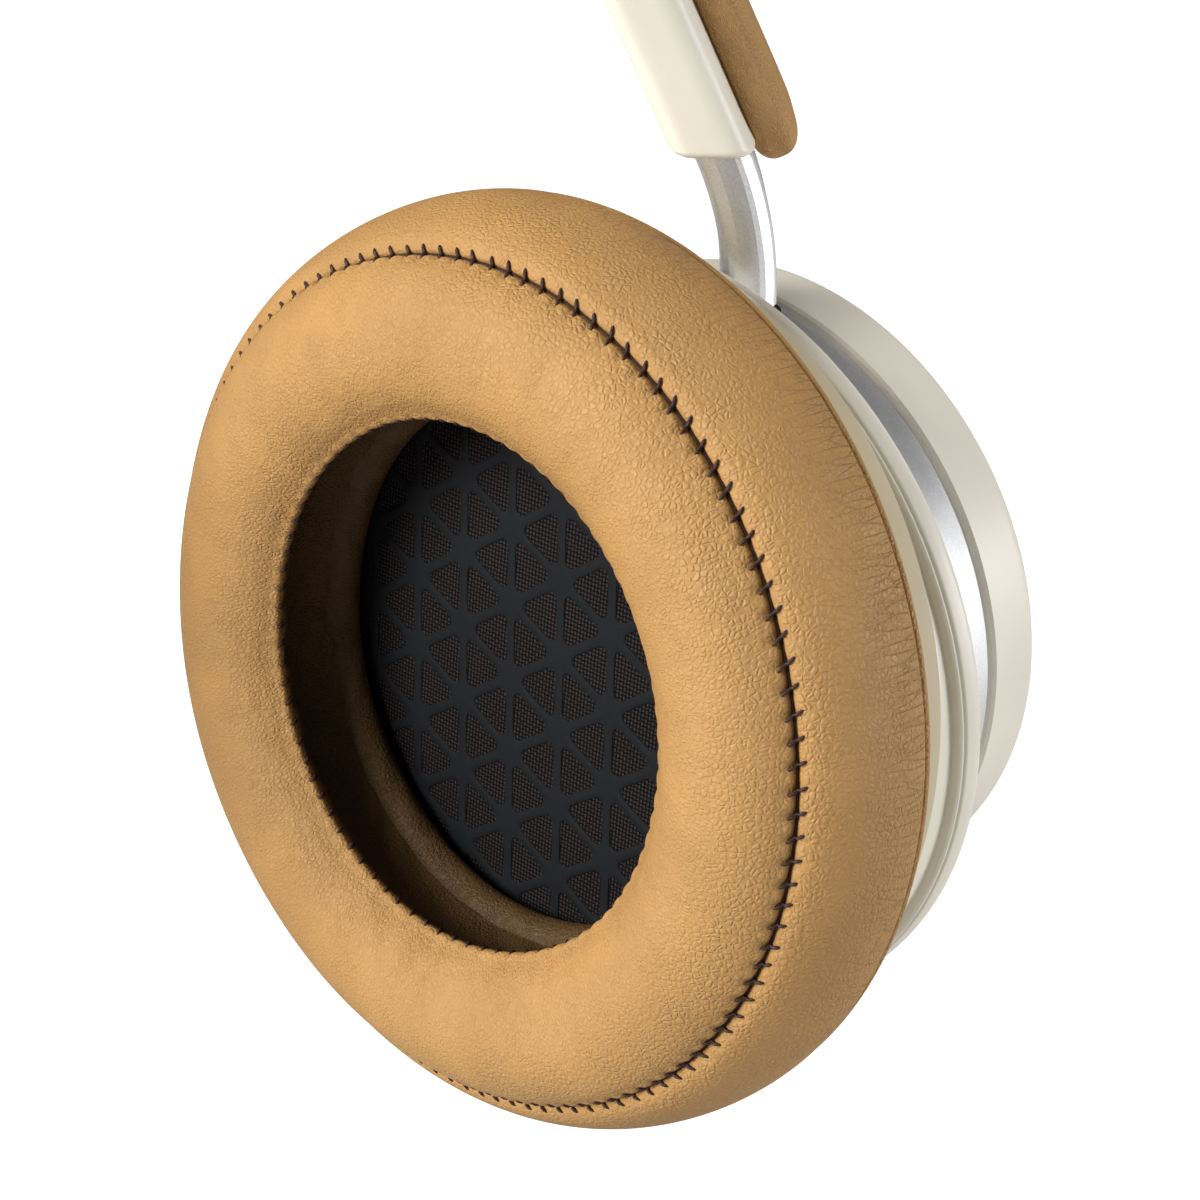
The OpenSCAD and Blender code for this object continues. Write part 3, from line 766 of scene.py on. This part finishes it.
@dataclass
class EarPad:
    """A round leather pad: a crown between two seams, a fuller side behind the outer one, and an inner wall."""

    side: Side
    finishes: Finishes
    outer_seam: tuple[float, float] = (43.0 * MM, -28.8 * MM)
    inner_seam: tuple[float, float] = (26.8 * MM, -28.3 * MM)
    crest: float = -34.8 * MM
    rear: float = -16.3 * MM
    rim: float = 47.7 * MM
    belly: float = 49.3 * MM
    wall_foot: float = 28.5 * MM
    stitches: int = 119
    inner_stitches: int = 80
    steps_per_stitch: int = 8
    layout_radius: float = 44 * MM

    def __post_init__(self) -> None:
        """Works out the outline and its distances from the seams."""
        self.seat = ear_seat(self.side)
        out_r, out_z = self.outer_seam
        in_r, in_z = self.inner_seam
        foot = self.rear + 0.05 * MM
        crown = bezier(
            (out_r, out_z), (out_r - 3.7 * MM, self.crest), (in_r + 3.3 * MM, self.crest + 0.2 * MM), (in_r, in_z), 64
        )
        wall = bezier(
            (in_r, in_z),
            (in_r + 2.6 * MM, in_z + 2.2 * MM),
            (in_r + 3.4 * MM, in_z + 5 * MM),
            (in_r + 2.5 * MM, in_z + 8.2 * MM),
            26,
        )
        band = bezier(
            wall[-1],
            (in_r + 0.4 * MM, in_z + 8.9 * MM),
            (in_r + 0.3 * MM, self.rear - 0.4 * MM),
            (self.wall_foot, foot),
            18,
        )
        back = np.linspace((self.wall_foot, foot), (self.rim - 1.0 * MM, foot), 6)
        side = bezier(
            (self.rim - 1.0 * MM, foot),
            (self.rim, self.rear),
            (self.rim + 0.1 * MM, self.rear - 0.3 * MM),
            (self.rim + 0.2 * MM, self.rear - 0.9 * MM),
            8,
        )
        flank = bezier(
            side[-1],
            (self.belly - 0.9 * MM, self.rear - 5.5 * MM),
            (out_r + 3.2 * MM, out_z + 1.0 * MM),
            (out_r, out_z),
            44,
        )
        parts = (crown, wall, band, back, side, flank)
        self.outline = np.vstack([part[:-1] for part in parts])
        self.along = arc_length(np.vstack((self.outline, self.outline[:1])))[:-1]
        total = self.along[-1] + np.linalg.norm(self.outline[0] - self.outline[-1])
        self.from_outer = np.where(self.along > total / 2, self.along - total, self.along)
        self.from_inner = self.along - self.along[len(crown) - 1]
        tangent = np.roll(self.outline, -1, axis=0) - np.roll(self.outline, 1, axis=0)
        tangent /= np.linalg.norm(tangent, axis=1)[:, None]
        self.normal = np.stack((-tangent[:, 1], tangent[:, 0]), axis=1)
        centre = self.outline.mean(axis=0)
        if np.sum((self.outline - centre) * self.normal) < 0:
            self.normal = -self.normal

    def dress(self, name: str, skin: Skin, finish: Finish) -> bpy.types.Object:
        """Makes one piece of the pad.

        Args:
            name: Its name after "right_pad_" or "left_pad_".
            skin: Its points and faces.
            finish: Its finish.

        Returns:
            The piece.
        """
        prefix = self.side.prefix
        return add_piece(f"{prefix}_pad_{name}", skin, finish, f"{prefix}_ear", self.seat)

    def rise(self, turns: Array) -> Array:
        """Height of the leather over the plain outline: seams, puckers and folds.

        Args:
            turns: Angles of the columns.

        Returns:
            Heights, shaped (rows, columns).
        """
        outer, inner = self.from_outer[:, None], self.from_inner[:, None]
        stitch = bump_of(np.abs((turns * self.stitches / TAU + 0.5) % 1 - 0.5)[None, :], 0.24)
        tick = bump_of(np.abs((turns * self.inner_stitches / TAU + 0.5) % 1 - 0.5)[None, :], 0.26)
        groove = -0.4 * np.exp(-np.abs(outer) / (0.2 * MM)) - 0.16 * bump_of(outer, 1.0 * MM)
        pucker = -0.16 * stitch * bump_of(np.abs(outer) - 0.6 * MM, 0.6 * MM)
        scallop = 0.14 * (1 - stitch) * bump_of(outer - 0.6 * MM, 0.45 * MM)
        lip = 0.3 * bump_of(inner + 0.75 * MM, 0.6 * MM) * (1 - 0.5 * tick)
        trough = -0.5 * np.exp(-np.abs(inner) / (0.3 * MM)) - 0.12 * tick * bump_of(inner - 0.5 * MM, 0.9 * MM)
        on_wall = np.clip(inner / (2 * MM), 0, 1) * np.clip((13 * MM - inner) / (2 * MM), 0, 1)
        folds = 0.16 * on_wall * waves(turns, self.along, range(9, 40), 700.0, 3)
        near_lip = bump_of(inner + 4 * MM, 3.2 * MM) * (inner < 0)
        ripples = 0.035 * near_lip * waves(turns, self.along, range(5, 26), 2600.0, 5)
        slow = 0.06 * waves(turns, self.along, range(2, 8), 90.0, 7) * (np.abs(outer) > 2 * MM)
        return (groove + pucker + scallop + lip + trough + folds + ripples + slow) * MM

    def surface(self, turns: Array) -> Array:
        """Returns the grid of (radius, along) places of the leather at some angles."""
        return self.outline[:, None] + self.normal[:, None] * self.rise(turns)[..., None]

    def build(self) -> bpy.types.Object:
        """Builds the leather, its stitches and its rear bead.

        Returns:
            The pad.
        """
        count = self.stitches * self.steps_per_stitch
        turns = full_turn(count)
        grid = revolve(self.surface(turns), turns)
        lay = revolve(np.stack((np.full_like(self.along, self.layout_radius), self.along), axis=1), turns)
        skin = Skin()
        # Painted shade: the leather is darkened inside the opening, from just before the inner seam inwards.
        painted_inside_shade = np.clip((self.from_inner + 0.6 * MM) / (2.5 * MM), 0, 1) * (self.from_inner < 17 * MM)
        behind = -self.from_outer
        strain = np.clip((behind - 5.5 * MM) / (7 * MM), 0, 1) * (behind < 14.5 * MM) * (self.from_outer < 0)
        skin.add_grid(grid, lay, close_rows=True, depth=painted_inside_shade, strain=strain)
        pad = self.dress("leather", skin, self.finishes.leather)
        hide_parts(f"{self.side.prefix}_pad")
        self.sew_outer()
        self.sew_inner()
        self.add_bead()
        return pad

    def locate(self, distance: Array, turn: Array, lift: Array, places: Array) -> Array:
        """Finds points over the leather.

        Args:
            distance: Distances from a seam along the outline.
            turn: Angles.
            lift: Heights over the surface.
            places: Distances of the outline's own points from that seam.

        Returns:
            Local points, one per row.
        """
        order = np.argsort(places)
        surface = self.surface(np.array((0.0,)))[:, 0]
        spots = np.stack([np.interp(distance, places[order], surface[order, k]) for k in (0, 1)], axis=1)
        away = np.stack([np.interp(distance, places[order], self.normal[order, k]) for k in (0, 1)], axis=1)
        spots = spots + away * lift[:, None]
        return np.stack((spots[:, 0] * np.cos(turn), spots[:, 0] * np.sin(turn), spots[:, 1]), axis=1)

    def tube(self, skin: Skin, line: Array, radii: Array, sides: int = 6) -> None:
        """Adds a round tube along a line to a skin.

        Args:
            skin: Skin to add to.
            line: Points of the line.
            radii: Radius at each point.
            sides: Number of sides.
        """
        along = np.gradient(line, axis=0)
        along /= np.linalg.norm(along, axis=1)[:, None]
        helper = np.cross(along, line * (1, 1, 0))
        helper /= np.linalg.norm(helper, axis=1)[:, None]
        other = np.cross(along, helper)
        turns = full_turn(sides)
        ring = helper[:, None] * np.cos(turns)[None, :, None] + other[:, None] * np.sin(turns)[None, :, None]
        grid = line[:, None] + ring * radii[:, None, None]
        skin.add_grid(grid)
        skin.add_cap(grid[0])
        skin.add_cap(grid[-1])

    def sew_outer(self) -> None:
        """Adds the cross-stitches over the outer seam and a thin dark tube in it, a painted shadow of the seam's gap.
        """
        random = np.random.default_rng(11)
        skin = Skin()
        t = np.linspace(-1, 1, 9)
        for n in range(self.stitches):
            middle = n * TAU / self.stitches + random.normal(0, 0.03) * TAU / self.stitches
            reach = (0.95 + random.normal(0, 0.06)) * MM
            slant = (0.5 + random.normal(0, 0.07)) * MM
            turn = middle + t * slant / self.outer_seam[0]
            lift = (0.26 * (1 - t**2) - 0.16 * t**6) * MM
            line = self.locate(t * reach, turn, lift, self.from_outer)
            self.tube(skin, line, (0.19 - 0.08 * t**2) * MM)
        self.dress("stitches", skin, self.finishes.thread)
        # Painted shadow: a thin dark tube along the bottom of the outer seam.
        seam = Skin()
        turns = full_turn(360)
        ring = full_turn(6)
        r, z = self.seam_bottom()
        outline = np.stack((r + 0.14 * MM * np.cos(ring), z + 0.14 * MM * np.sin(ring)), axis=1)
        seam.add_grid(revolve(outline, turns), close_rows=True)
        self.dress("seam", seam, self.finishes.painted_seam_shadow)

    def seam_bottom(self) -> tuple[float, float]:
        """Returns the radius and place along the axis of the outer seam's deepest line."""
        spot = self.locate(np.array((0.0,)), np.array((0.0,)), np.array((0.06 * MM,)), self.from_outer)[0]
        return float(spot[0]), float(spot[2])

    def sew_inner(self) -> None:
        """Adds the short stitches along the inner seam."""
        random = np.random.default_rng(12)
        skin = Skin()
        t = np.linspace(-1, 1, 7)
        for n in range(self.inner_stitches):
            middle = n * TAU / self.inner_stitches + random.normal(0, 0.03) * TAU / self.inner_stitches
            reach = (0.75 + random.normal(0, 0.05)) * MM
            turn = middle + t * 0.3 * MM / self.inner_seam[0]
            lift = (0.2 * (1 - t**2) - 0.1 * t**6) * MM
            line = self.locate(-0.1 * MM + t * reach, turn, lift, self.from_inner)
            self.tube(skin, line, (0.2 - 0.09 * t**2) * MM)
        self.dress("inner_stitches", skin, self.finishes.thread)

    def add_bead(self) -> None:
        """Adds the thin leather bead behind the pad's rear edge."""
        ring = full_turn(10)
        turns = full_turn(480)
        outline = np.stack(
            (self.rim - 0.62 * MM + 0.6 * MM * np.cos(ring), self.rear + 0.4 * MM + 0.5 * MM * np.sin(ring)), axis=1
        )
        skin = Skin()
        skin.add_grid(revolve(outline, turns), close_rows=True)
        self.dress("bead", skin, self.finishes.leather)


# ---------------------------------------------------------------- grille


@dataclass
class Grille:
    """Woven cloth with a printed lattice of triangles that have rounded corners."""

    side: Side
    finishes: Finishes
    cell: float = 8.16 * MM
    bar: float = 1.1 * MM
    corner: float = 0.7 * MM
    turn: float = math.radians(-4.9)
    print_height: float = 0.14 * MM
    radius: float = 30.3 * MM
    cloth_front: float = -15.2 * MM
    shift: tuple[float, float] = (13.62 * MM, 7.57 * MM)
    steps: int = 8

    def build(self) -> None:
        """Builds the cloth and the lattice."""
        seat, prefix = ear_seat(self.side), self.side.prefix
        turns = full_turn(180)
        outline = np.array([(r, self.cloth_front) for r in np.linspace(1, self.radius / MM, 30) * MM])
        cloth = Skin()
        grid = revolve(outline, turns)
        cloth.add_grid(grid)
        cloth.add_cap(grid[0])
        back = revolve(np.array(((self.radius, self.cloth_front), (self.radius, self.cloth_front + 0.3 * MM))), turns)
        cloth.add_grid(back)
        cloth.add_cap(back[-1])
        sheet = add_piece(f"{prefix}_grille_weave", cloth, self.finishes.cloth, f"{prefix}_ear", seat)
        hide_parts(f"{prefix}_grille_cloth")
        lattice = add_piece(
            f"{prefix}_grille_lattice", self.lattice(), self.finishes.lattice, f"{prefix}_ear", seat
        )
        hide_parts(f"{prefix}_grille")

    def hole(self, corners: Array) -> tuple[Array, Array]:
        """Works out the edge of one triangle and of the rounded hole in it.

        Args:
            corners: The triangle's three corners.

        Returns:
            Points on the triangle's edge and on the hole's edge, in step.
        """
        middle = corners.mean(axis=0)
        inradius = self.cell / (2 * math.sqrt(3))
        small = (inradius - self.bar / 2 - self.corner) / inradius
        inner = middle + (corners - middle) * small
        edge, hole = [], []
        sweep = math.radians(60)
        for k in range(3):
            a, b = corners[k], corners[(k + 1) % 3]
            p, q = inner[k], inner[(k + 1) % 3]
            out = (a + b) / 2 - middle
            out = out / np.linalg.norm(out)
            for i in range(self.steps):
                t = i / self.steps
                edge.append(a + (b - a) * t)
                swing = sweep * (np.clip((0.25 - t) / 0.25, 0, 1) - np.clip((t - 0.75) / 0.25, 0, 1))
                base = p + (q - p) * np.clip((t - 0.25) / 0.5, 0, 1)
                along = (b - a) / np.linalg.norm(b - a)
                hole.append(base + self.corner * (out * math.cos(swing) - along * math.sin(swing)))
        return np.array(edge), np.array(hole)

    def lattice(self) -> Skin:
        """Returns the lattice's skin."""
        skin = Skin()
        pitch = self.cell * math.sqrt(3) / 2
        reach = int(self.radius / pitch) + 4
        top = self.cloth_front - self.print_height

        def node(i: int, k: int) -> Array:
            """Place of one crossing of the lattice."""
            x, y = i * pitch, (k + (i % 2) / 2) * self.cell
            c, s = math.cos(self.turn), math.sin(self.turn)
            return np.array((c * x - s * y + self.shift[0], s * x + c * y + self.shift[1]))

        for i in range(-reach, reach):
            for k in range(-reach, reach):
                low = k + i % 2
                pairs = (
                    (node(i, k), node(i + 1, low), node(i, k + 1)),
                    (node(i + 1, k), node(i + 1, k + 1), node(i, k + 1 - i % 2)),
                )
                for corners in pairs:
                    triangle = np.array(corners)
                    sides = [np.linalg.norm(triangle[a] - triangle[(a + 1) % 3]) for a in range(3)]
                    away = np.linalg.norm(triangle.mean(axis=0))
                    if max(sides) > self.cell * 1.01 or away > self.radius + self.cell / 2:
                        continue
                    self.add_cell(skin, triangle, top)
        return skin

    def add_cell(self, skin: Skin, triangle: Array, top: float) -> None:
        """Adds one triangle of the lattice, cut to the round edge of the cloth.

        Args:
            skin: Skin to add to.
            triangle: Its three corners.
            top: Place of the print's face along the axis.
        """
        edge, hole = self.hole(triangle)
        inner = hole + (triangle.mean(axis=0) - hole) * 0.02
        rings = (
            (edge, top),
            (hole + (edge - hole) * 0.12, top),
            (hole, top + 0.3 * self.print_height),
            (inner, self.cloth_front + 0.05 * MM),
        )
        grid = np.stack([np.column_stack((ring, np.full(len(ring), z))) for ring, z in rings])
        size = np.linalg.norm(grid[..., :2], axis=-1, keepdims=True)
        grid[..., :2] *= np.minimum(1, self.radius / np.maximum(size, 1e-9))
        if size.min() < self.radius:
            skin.add_grid(grid)


# ---------------------------------------------------------------- band


@dataclass(frozen=True)
class Strip:
    """Cross-section of a band part: how far it lies from the band's line, and its half sizes."""

    middle: float
    half_thick: float
    half_wide: float
    power: float = 4.0

    def ring(self, thick: Array, wide: Array, steps: int = 64) -> Array:
        """Samples the section as a rounded box.

        Args:
            thick: Half thickness of each row.
            wide: Half width of each row.
            steps: Points round the section.

        Returns:
            Offsets (outward, back), shaped (rows, steps, 2).
        """
        turns = (np.arange(steps) + 0.5) * TAU / steps
        c, s = np.cos(turns), np.sin(turns)
        size = (np.abs(c) ** self.power + np.abs(s) ** self.power) ** (-1 / self.power)
        return np.stack((self.middle + thick[:, None] * (size * c), wide[:, None] * (size * s)), axis=-1)


@dataclass
class Band:
    """The headband: a plastic bow, a leather strip on its outer side and a cushion under its top."""

    finishes: Finishes
    arc_radius: float = 52 * MM
    shell: Strip = Strip(0.0, 3.8 * MM, 15 * MM, 7.0)
    cover: Strip = Strip(5.35 * MM, 2.35 * MM, 12 * MM, 4.2)
    cover_drop: float = 2.4 * MM
    cushion: Strip = Strip(-7.1 * MM, 3.5 * MM, 12 * MM, 2.8)
    cushion_reach: float = math.radians(40)
    bevel: float = 0.8 * MM

    def __post_init__(self) -> None:
        """Works out the band's line from the frame."""
        outward, _, down = record_joint("right_arm_slide")["axis"]
        self.lean = math.atan2(outward, -down)
        low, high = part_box("band_shell")
        self.depth = (low[1] + high[1]) / 2
        self.end = low[2]
        self.centre = high[2] - self.shell.half_thick - self.arc_radius
        self.turn = math.pi / 2 - self.lean
        self.arc_end = self.arc_radius * self.turn

    def place(self, along: Array, offsets: Array) -> Array:
        """Puts offsets from the band's line into the row frame.

        Args:
            along: Signed distance from the top, shaped (rows, columns).
            offsets: Offsets (outward, back), shaped (rows, columns, 2).

        Returns:
            Points, shaped (rows, columns, 3).
        """
        reach = np.abs(along)
        angle = np.minimum(reach, self.arc_end) / self.arc_radius
        straight = np.maximum(reach - self.arc_end, 0)
        radius = self.arc_radius + offsets[..., 0]
        x = radius * np.sin(angle) + straight * np.cos(angle)
        z = self.centre + radius * np.cos(angle) - straight * np.sin(angle)
        return np.stack((np.sign(along) * x, self.depth + offsets[..., 1], z), axis=-1)

    def level_end(self, outward: Array, height: float) -> Array:
        """Distance along the band at which a line offset outward comes down to a height."""
        over = self.centre + (self.arc_radius + outward) * math.cos(self.turn) - height
        return self.arc_end + over / math.sin(self.turn)

    def build(self) -> None:
        """Builds the three parts of the band."""
        self.build_shell()
        self.build_cover()
        self.build_cushion()

    def build_shell(self) -> None:
        """Builds the bow, with rounded level ends and a pocket for each arm."""
        skin = Skin()
        rows = 140
        share = np.sin(np.linspace(-1, 1, rows) * math.pi / 2)
        edge = 0.9 * MM
        phi = np.linspace(0, math.pi / 2, 7)
        inset = np.concatenate((np.zeros(rows - 2), edge * (1 - np.cos(phi))))
        full = self.section(np.array((0.0,)))[0]
        reach = self.level_end(full[:, 0], self.end)
        main = self.place(share[1:-1, None] * (reach - edge)[None, :], np.repeat(full[None], rows - 2, axis=0))
        pocket = Strip(0.0, 2.95 * MM, 5.3 * MM, 8.0).ring(np.array((2.95 * MM,)), np.array((5.3 * MM,)))[0]
        sides = []
        for sign in (-1, 1):
            sections = self.section(edge * (1 - np.cos(phi)))
            ends = self.level_end(sections[..., 0], self.end) - edge * (1 - np.sin(phi))[:, None]
            curl = self.place(sign * ends, sections)
            mouth = self.place(sign * self.level_end(pocket[:, 0], self.end)[None], pocket[None])
            deep = self.place(sign * (self.level_end(pocket[:, 0], self.end) - 7 * MM)[None], pocket[None])
            sides.append(np.concatenate((curl, mouth, deep)))
        grid = np.concatenate((sides[0][::-1], main, sides[1]))
        skin.add_grid(grid)
        skin.add_cap(grid[0])
        skin.add_cap(grid[-1])
        shell = add_piece("band_bow", skin, self.finishes.cream, "band")
        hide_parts("band_shell")

    def section(self, inset: Array) -> Array:
        """Section of the bow, with a soft ridge where its narrow faces turn to a bevel.

        Args:
            inset: How far each row is drawn in from the full section.

        Returns:
            Offsets (outward, back), shaped (rows, steps, 2).
        """
        ring = self.shell.ring(self.shell.half_thick - inset, self.shell.half_wide - inset)
        outer = np.clip((ring[..., 0] - 0.9 * MM) / (2.9 * MM), 0, 1)
        ring[..., 1] *= 1 - outer**1.5 * self.bevel / self.shell.half_wide
        return ring

    def build_strip(
        self, name: str, strip: Strip, reach: float, corner: float, rows: int, puff: float, node: str
    ) -> None:
        """Builds a padded leather strip with round ends.

        Args:
            name: Name of the piece.
            strip: Its section.
            reach: Distance from the top to its tips.
            corner: Radius of its end in plan.
            rows: Rows of points along it.
            puff: How far the padding swells and dips along the strip.
            node: CAD node that it stands for.
        """
        spread = np.linspace(-1, 1, rows)
        blend = 0.35 * np.sin(spread * math.pi / 2) + 0.65 * np.sin(np.sin(spread * math.pi / 2) * math.pi / 2)
        along = reach * blend
        left = reach - np.abs(along)
        thick_end = np.sqrt(np.clip(1 - (1 - np.clip(left / (strip.half_thick * 1.25), 0, 1)) ** 2, 0, 1))
        wide_cut = np.sqrt(np.clip(corner**2 - (corner - np.clip(left, 0, corner)) ** 2, 0, None))
        wave = 1 + puff * np.cos(along / (9.5 * MM)) * 0.5 + puff * 0.5 * np.cos(along / (3.7 * MM) + 1.3)
        ring = strip.ring(strip.half_thick * thick_end * wave, strip.half_wide - corner + wide_cut)
        grid = self.place(np.repeat(along[:, None], ring.shape[1], axis=1), ring)
        middle = (strip.half_wide + strip.half_thick) * 4 / TAU
        wrap = np.arange(ring.shape[1]) / ring.shape[1] * TAU
        lay = np.stack(np.broadcast_arrays(along[:, None], middle * np.cos(wrap), middle * np.sin(wrap)), axis=-1)
        skin = Skin()
        skin.add_grid(grid, lay)
        skin.add_cap(grid[0])
        skin.add_cap(grid[-1])
        piece = add_piece(name, skin, self.finishes.leather, "band")
        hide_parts(node)

    def build_cover(self) -> None:
        """Builds the leather strip along the outer side."""
        tip = float(self.level_end(np.array(self.cover.middle), self.end)) + self.cover_drop
        self.build_strip("band_leather", self.cover, tip, 7.5 * MM, 260, 0.02, "band_cover")

    def build_cushion(self) -> None:
        """Builds the cushion under the top."""
        self.build_strip(
            "band_top_cushion",
            self.cushion,
            self.cushion_reach * self.arc_radius,
            8 * MM,
            160,
            0.05,
            "band_cushion",
        )


# ---------------------------------------------------------------- cups


@dataclass
class Cup:
    """Turned shells of one cup and of the ring that carries its pad."""

    side: Side
    finishes: Finishes
    columns: int = 256

    def turn(
        self,
        name: str,
        outline: Sequence[tuple[float, float]],
        finish: Finish,
        body: str,
        slot: str,
        node: str,
        seat: Seat,
    ) -> None:
        """Turns a closed outline, given in millimetres, and lets it stand for a node.

        Args:
            name: Name of the piece.
            outline: Places (radius, along the axis).
            finish: Finish of the piece.
            body: Body that it rides on.
            slot: Material slot; not used.
            node: CAD node that it stands for.
            seat: Its local frame.
        """
        turns = full_turn(self.columns)
        skin = Skin()
        skin.add_grid(revolve(np.array(outline) * MM, turns), close_rows=True)
        piece = add_piece(f"{self.side.prefix}_{name}", skin, finish, f"{self.side.prefix}_{body}", seat)
        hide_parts(f"{self.side.prefix}_{node}")

    @staticmethod
    def ball(radius: float, low: float, high: float, steps: int = 14) -> list[tuple[float, float]]:
        """Returns places on a ball about the tilt axis, between two places along the axis."""
        return [(math.sqrt(radius**2 - z**2), z) for z in np.linspace(low, high, steps)]

    def build(self) -> None:
        """Builds the housing and the pad's carrier."""
        cup, ear = cup_seat(self.side), ear_seat(self.side)
        cream = self.finishes.cream
        groove = [
            (41.2, -2.3), (41.75, -2.32), (41.95, -2.2), (42.05, -2.0), (42.1, -1.95), (42.12, -1.85), (41.9, -1.8),
            (41.9, -1.7), (42.18, -1.66),
        ]
        band = [(42.3, -1.2), (42.42, -0.6), (42.5, 0.0), (42.42, 0.4), (42.2, 0.72), (41.8, 0.92), (41.2, 1.0)]
        inner = [(35.0, 1.0), (35.0, 0.0), (39.6, 0.0)]
        outline = self.ball(41.2, -9.6, -2.4) + groove + band + inner + self.ball(39.6, -0.2, -9.6)
        self.turn("front_housing", outline, cream, "cup", "cream_plastic", "housing", cup)
        lip = [
            (30.6, -16.3), (45.5, -16.3), (45.9, -16.1), (46.0, -15.7), (45.95, -14.9), (45.4, -12.6), (44.5, -10.4),
            (43.7, -8.6), (43.45, -8.2), (43.1, -8.0), (40.95, -8.0),
        ]
        carrier = lip + self.ball(41.7, -8.1, -15.1) + self.ball(39.0, -15.1, -5.5) + self.ball(37.7, -5.5, -14.4) + [
            (30.6, -14.4)
        ]
        # The carrier is cream plastic; its darker, warmer finish is painted shade and a painted reflection of the
        # leather.
        self.turn("pad_carrier", carrier, self.finishes.shaded_cream, "ear", "cream_plastic", "carrier", ear)


# ---------------------------------------------------------------- studio


@dataclass
class Studio:
    """Camera, lights and floor."""

    elevation: float = 26.3
    distance: float = 256.7 * MM
    right: float = 5.4 * MM
    down: float = 2.92 * MM
    lens: float = 72.0
    sensor: float = 36.0
    clip: tuple[float, float] = (0.01, 20.0)
    world_strength: float = 0.08
    floor_half: float = 6.0
    floor_tone: float = 0.5
    floor_glow: tuple[float, float] = (0.03, 0.9)

    def build(self) -> None:
        """Builds the camera, the lights, the world and the floor."""
        self.add_camera()
        self.add_lights()
        self.add_floor()

    def add_camera(self) -> None:
        """Adds the camera, placed from the right cup's centre."""
        tip = math.radians(self.elevation)
        forward = np.array((0, math.cos(tip), -math.sin(tip)))
        down = np.array((0, -math.sin(tip), -math.cos(tip)))
        place = cup_seat(Side.RIGHT).origin - forward * self.distance - down * self.down - np.array(
            (self.right, 0, 0)
        )
        data = bpy.data.cameras.new("camera")
        data.lens, data.sensor_width = self.lens, self.sensor
        data.clip_start, data.clip_end = self.clip
        camera = bpy.data.objects.new("camera", data)
        camera.location = place
        camera.rotation_euler = (math.radians(90 - self.elevation), 0, 0)
        bpy.context.scene.collection.objects.link(camera)
        bpy.context.scene.camera = camera

    def add_lights(self) -> None:
        """Adds the soft key, fill and rim lights, and a pale world."""
        target = Vector(cup_seat(Side.RIGHT).origin)
        for name, place, size, power, color in (
            ("key", (-0.86, -0.48, 0.46), 0.7, 17.0, (1.0, 0.985, 0.955)),
            ("top", (-0.15, 0.25, 0.95), 0.5, 3.0, (1.0, 0.99, 0.97)),
            ("rim", (1.0, -0.12, 0.08), 0.5, 7.5, (0.985, 0.99, 1.0)),
        ):
            data = bpy.data.lights.new(name, "AREA")
            data.shape, data.size, data.energy, data.color = "DISK", size, power, color
            lamp = bpy.data.objects.new(name, data)
            lamp.location = target + Vector(place)
            lamp.rotation_euler = (-Vector(place)).to_track_quat("-Z", "Y").to_euler()
            bpy.context.scene.collection.objects.link(lamp)
        world = bpy.data.worlds.new("studio")
        world.use_nodes = True
        background = world.node_tree.nodes["Background"]
        background.inputs["Color"].default_value = (1, 1, 1, 1)
        sky = Graph(world.node_tree)
        seen = sky.add("ShaderNodeLightPath").outputs["Is Camera Ray"]
        sky.join(sky.ramp(seen, 0.0, 1.0, self.world_strength, 1.0), background, "Strength")
        bpy.context.scene.world = world
        bpy.context.scene.view_settings.view_transform = "Standard"

    def add_floor(self) -> None:
        """Adds the pale floor, low enough for the cups with both arms slid out."""
        half = self.floor_half
        mesh = bpy.data.meshes.new("floor")
        mesh.from_pydata([(-half, -half, 0), (half, -half, 0), (half, half, 0), (-half, half, 0)], [], [(0, 1, 2, 3)])
        floor = bpy.data.objects.new("floor", mesh)
        pale = bpy.data.materials.new("pale_floor")
        pale.use_nodes = True
        shader = pale.node_tree.nodes["Principled BSDF"]
        shader.inputs["Base Color"].default_value = (self.floor_tone, self.floor_tone, self.floor_tone, 1)
        shader.inputs["Roughness"].default_value = 0.9
        shader.inputs["Emission Color"].default_value = (1, 1, 1, 1)
        graph = Graph(pale.node_tree)
        seen = graph.add("ShaderNodeLightPath").outputs["Is Camera Ray"]
        graph.join(graph.ramp(seen, 0.0, 1.0, *self.floor_glow), shader, "Emission Strength")
        mesh.materials.append(pale)
        reach = record_joint("right_arm_slide")["range_m"][1]
        floor.location = (0, 0, min(0.0, float(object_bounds()[0][2])) - reach - 0.2 * MM)
        bpy.context.scene.collection.objects.link(floor)
        floor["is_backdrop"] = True


# ---------------------------------------------------------------- main


def main() -> None:
    """Builds the headphones and the studio."""
    logging.basicConfig(level=logging.INFO, format="%(name)s %(message)s")
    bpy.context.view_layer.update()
    finishes = Finishes()
    dress_frame(finishes)
    Band(finishes).build()
    for side in Side:
        Cup(side, finishes).build()
        EarPad(side, finishes).build()
        Grille(side, finishes).build()
    Studio().build()
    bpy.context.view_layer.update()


if __name__ == "__main__":
    main()
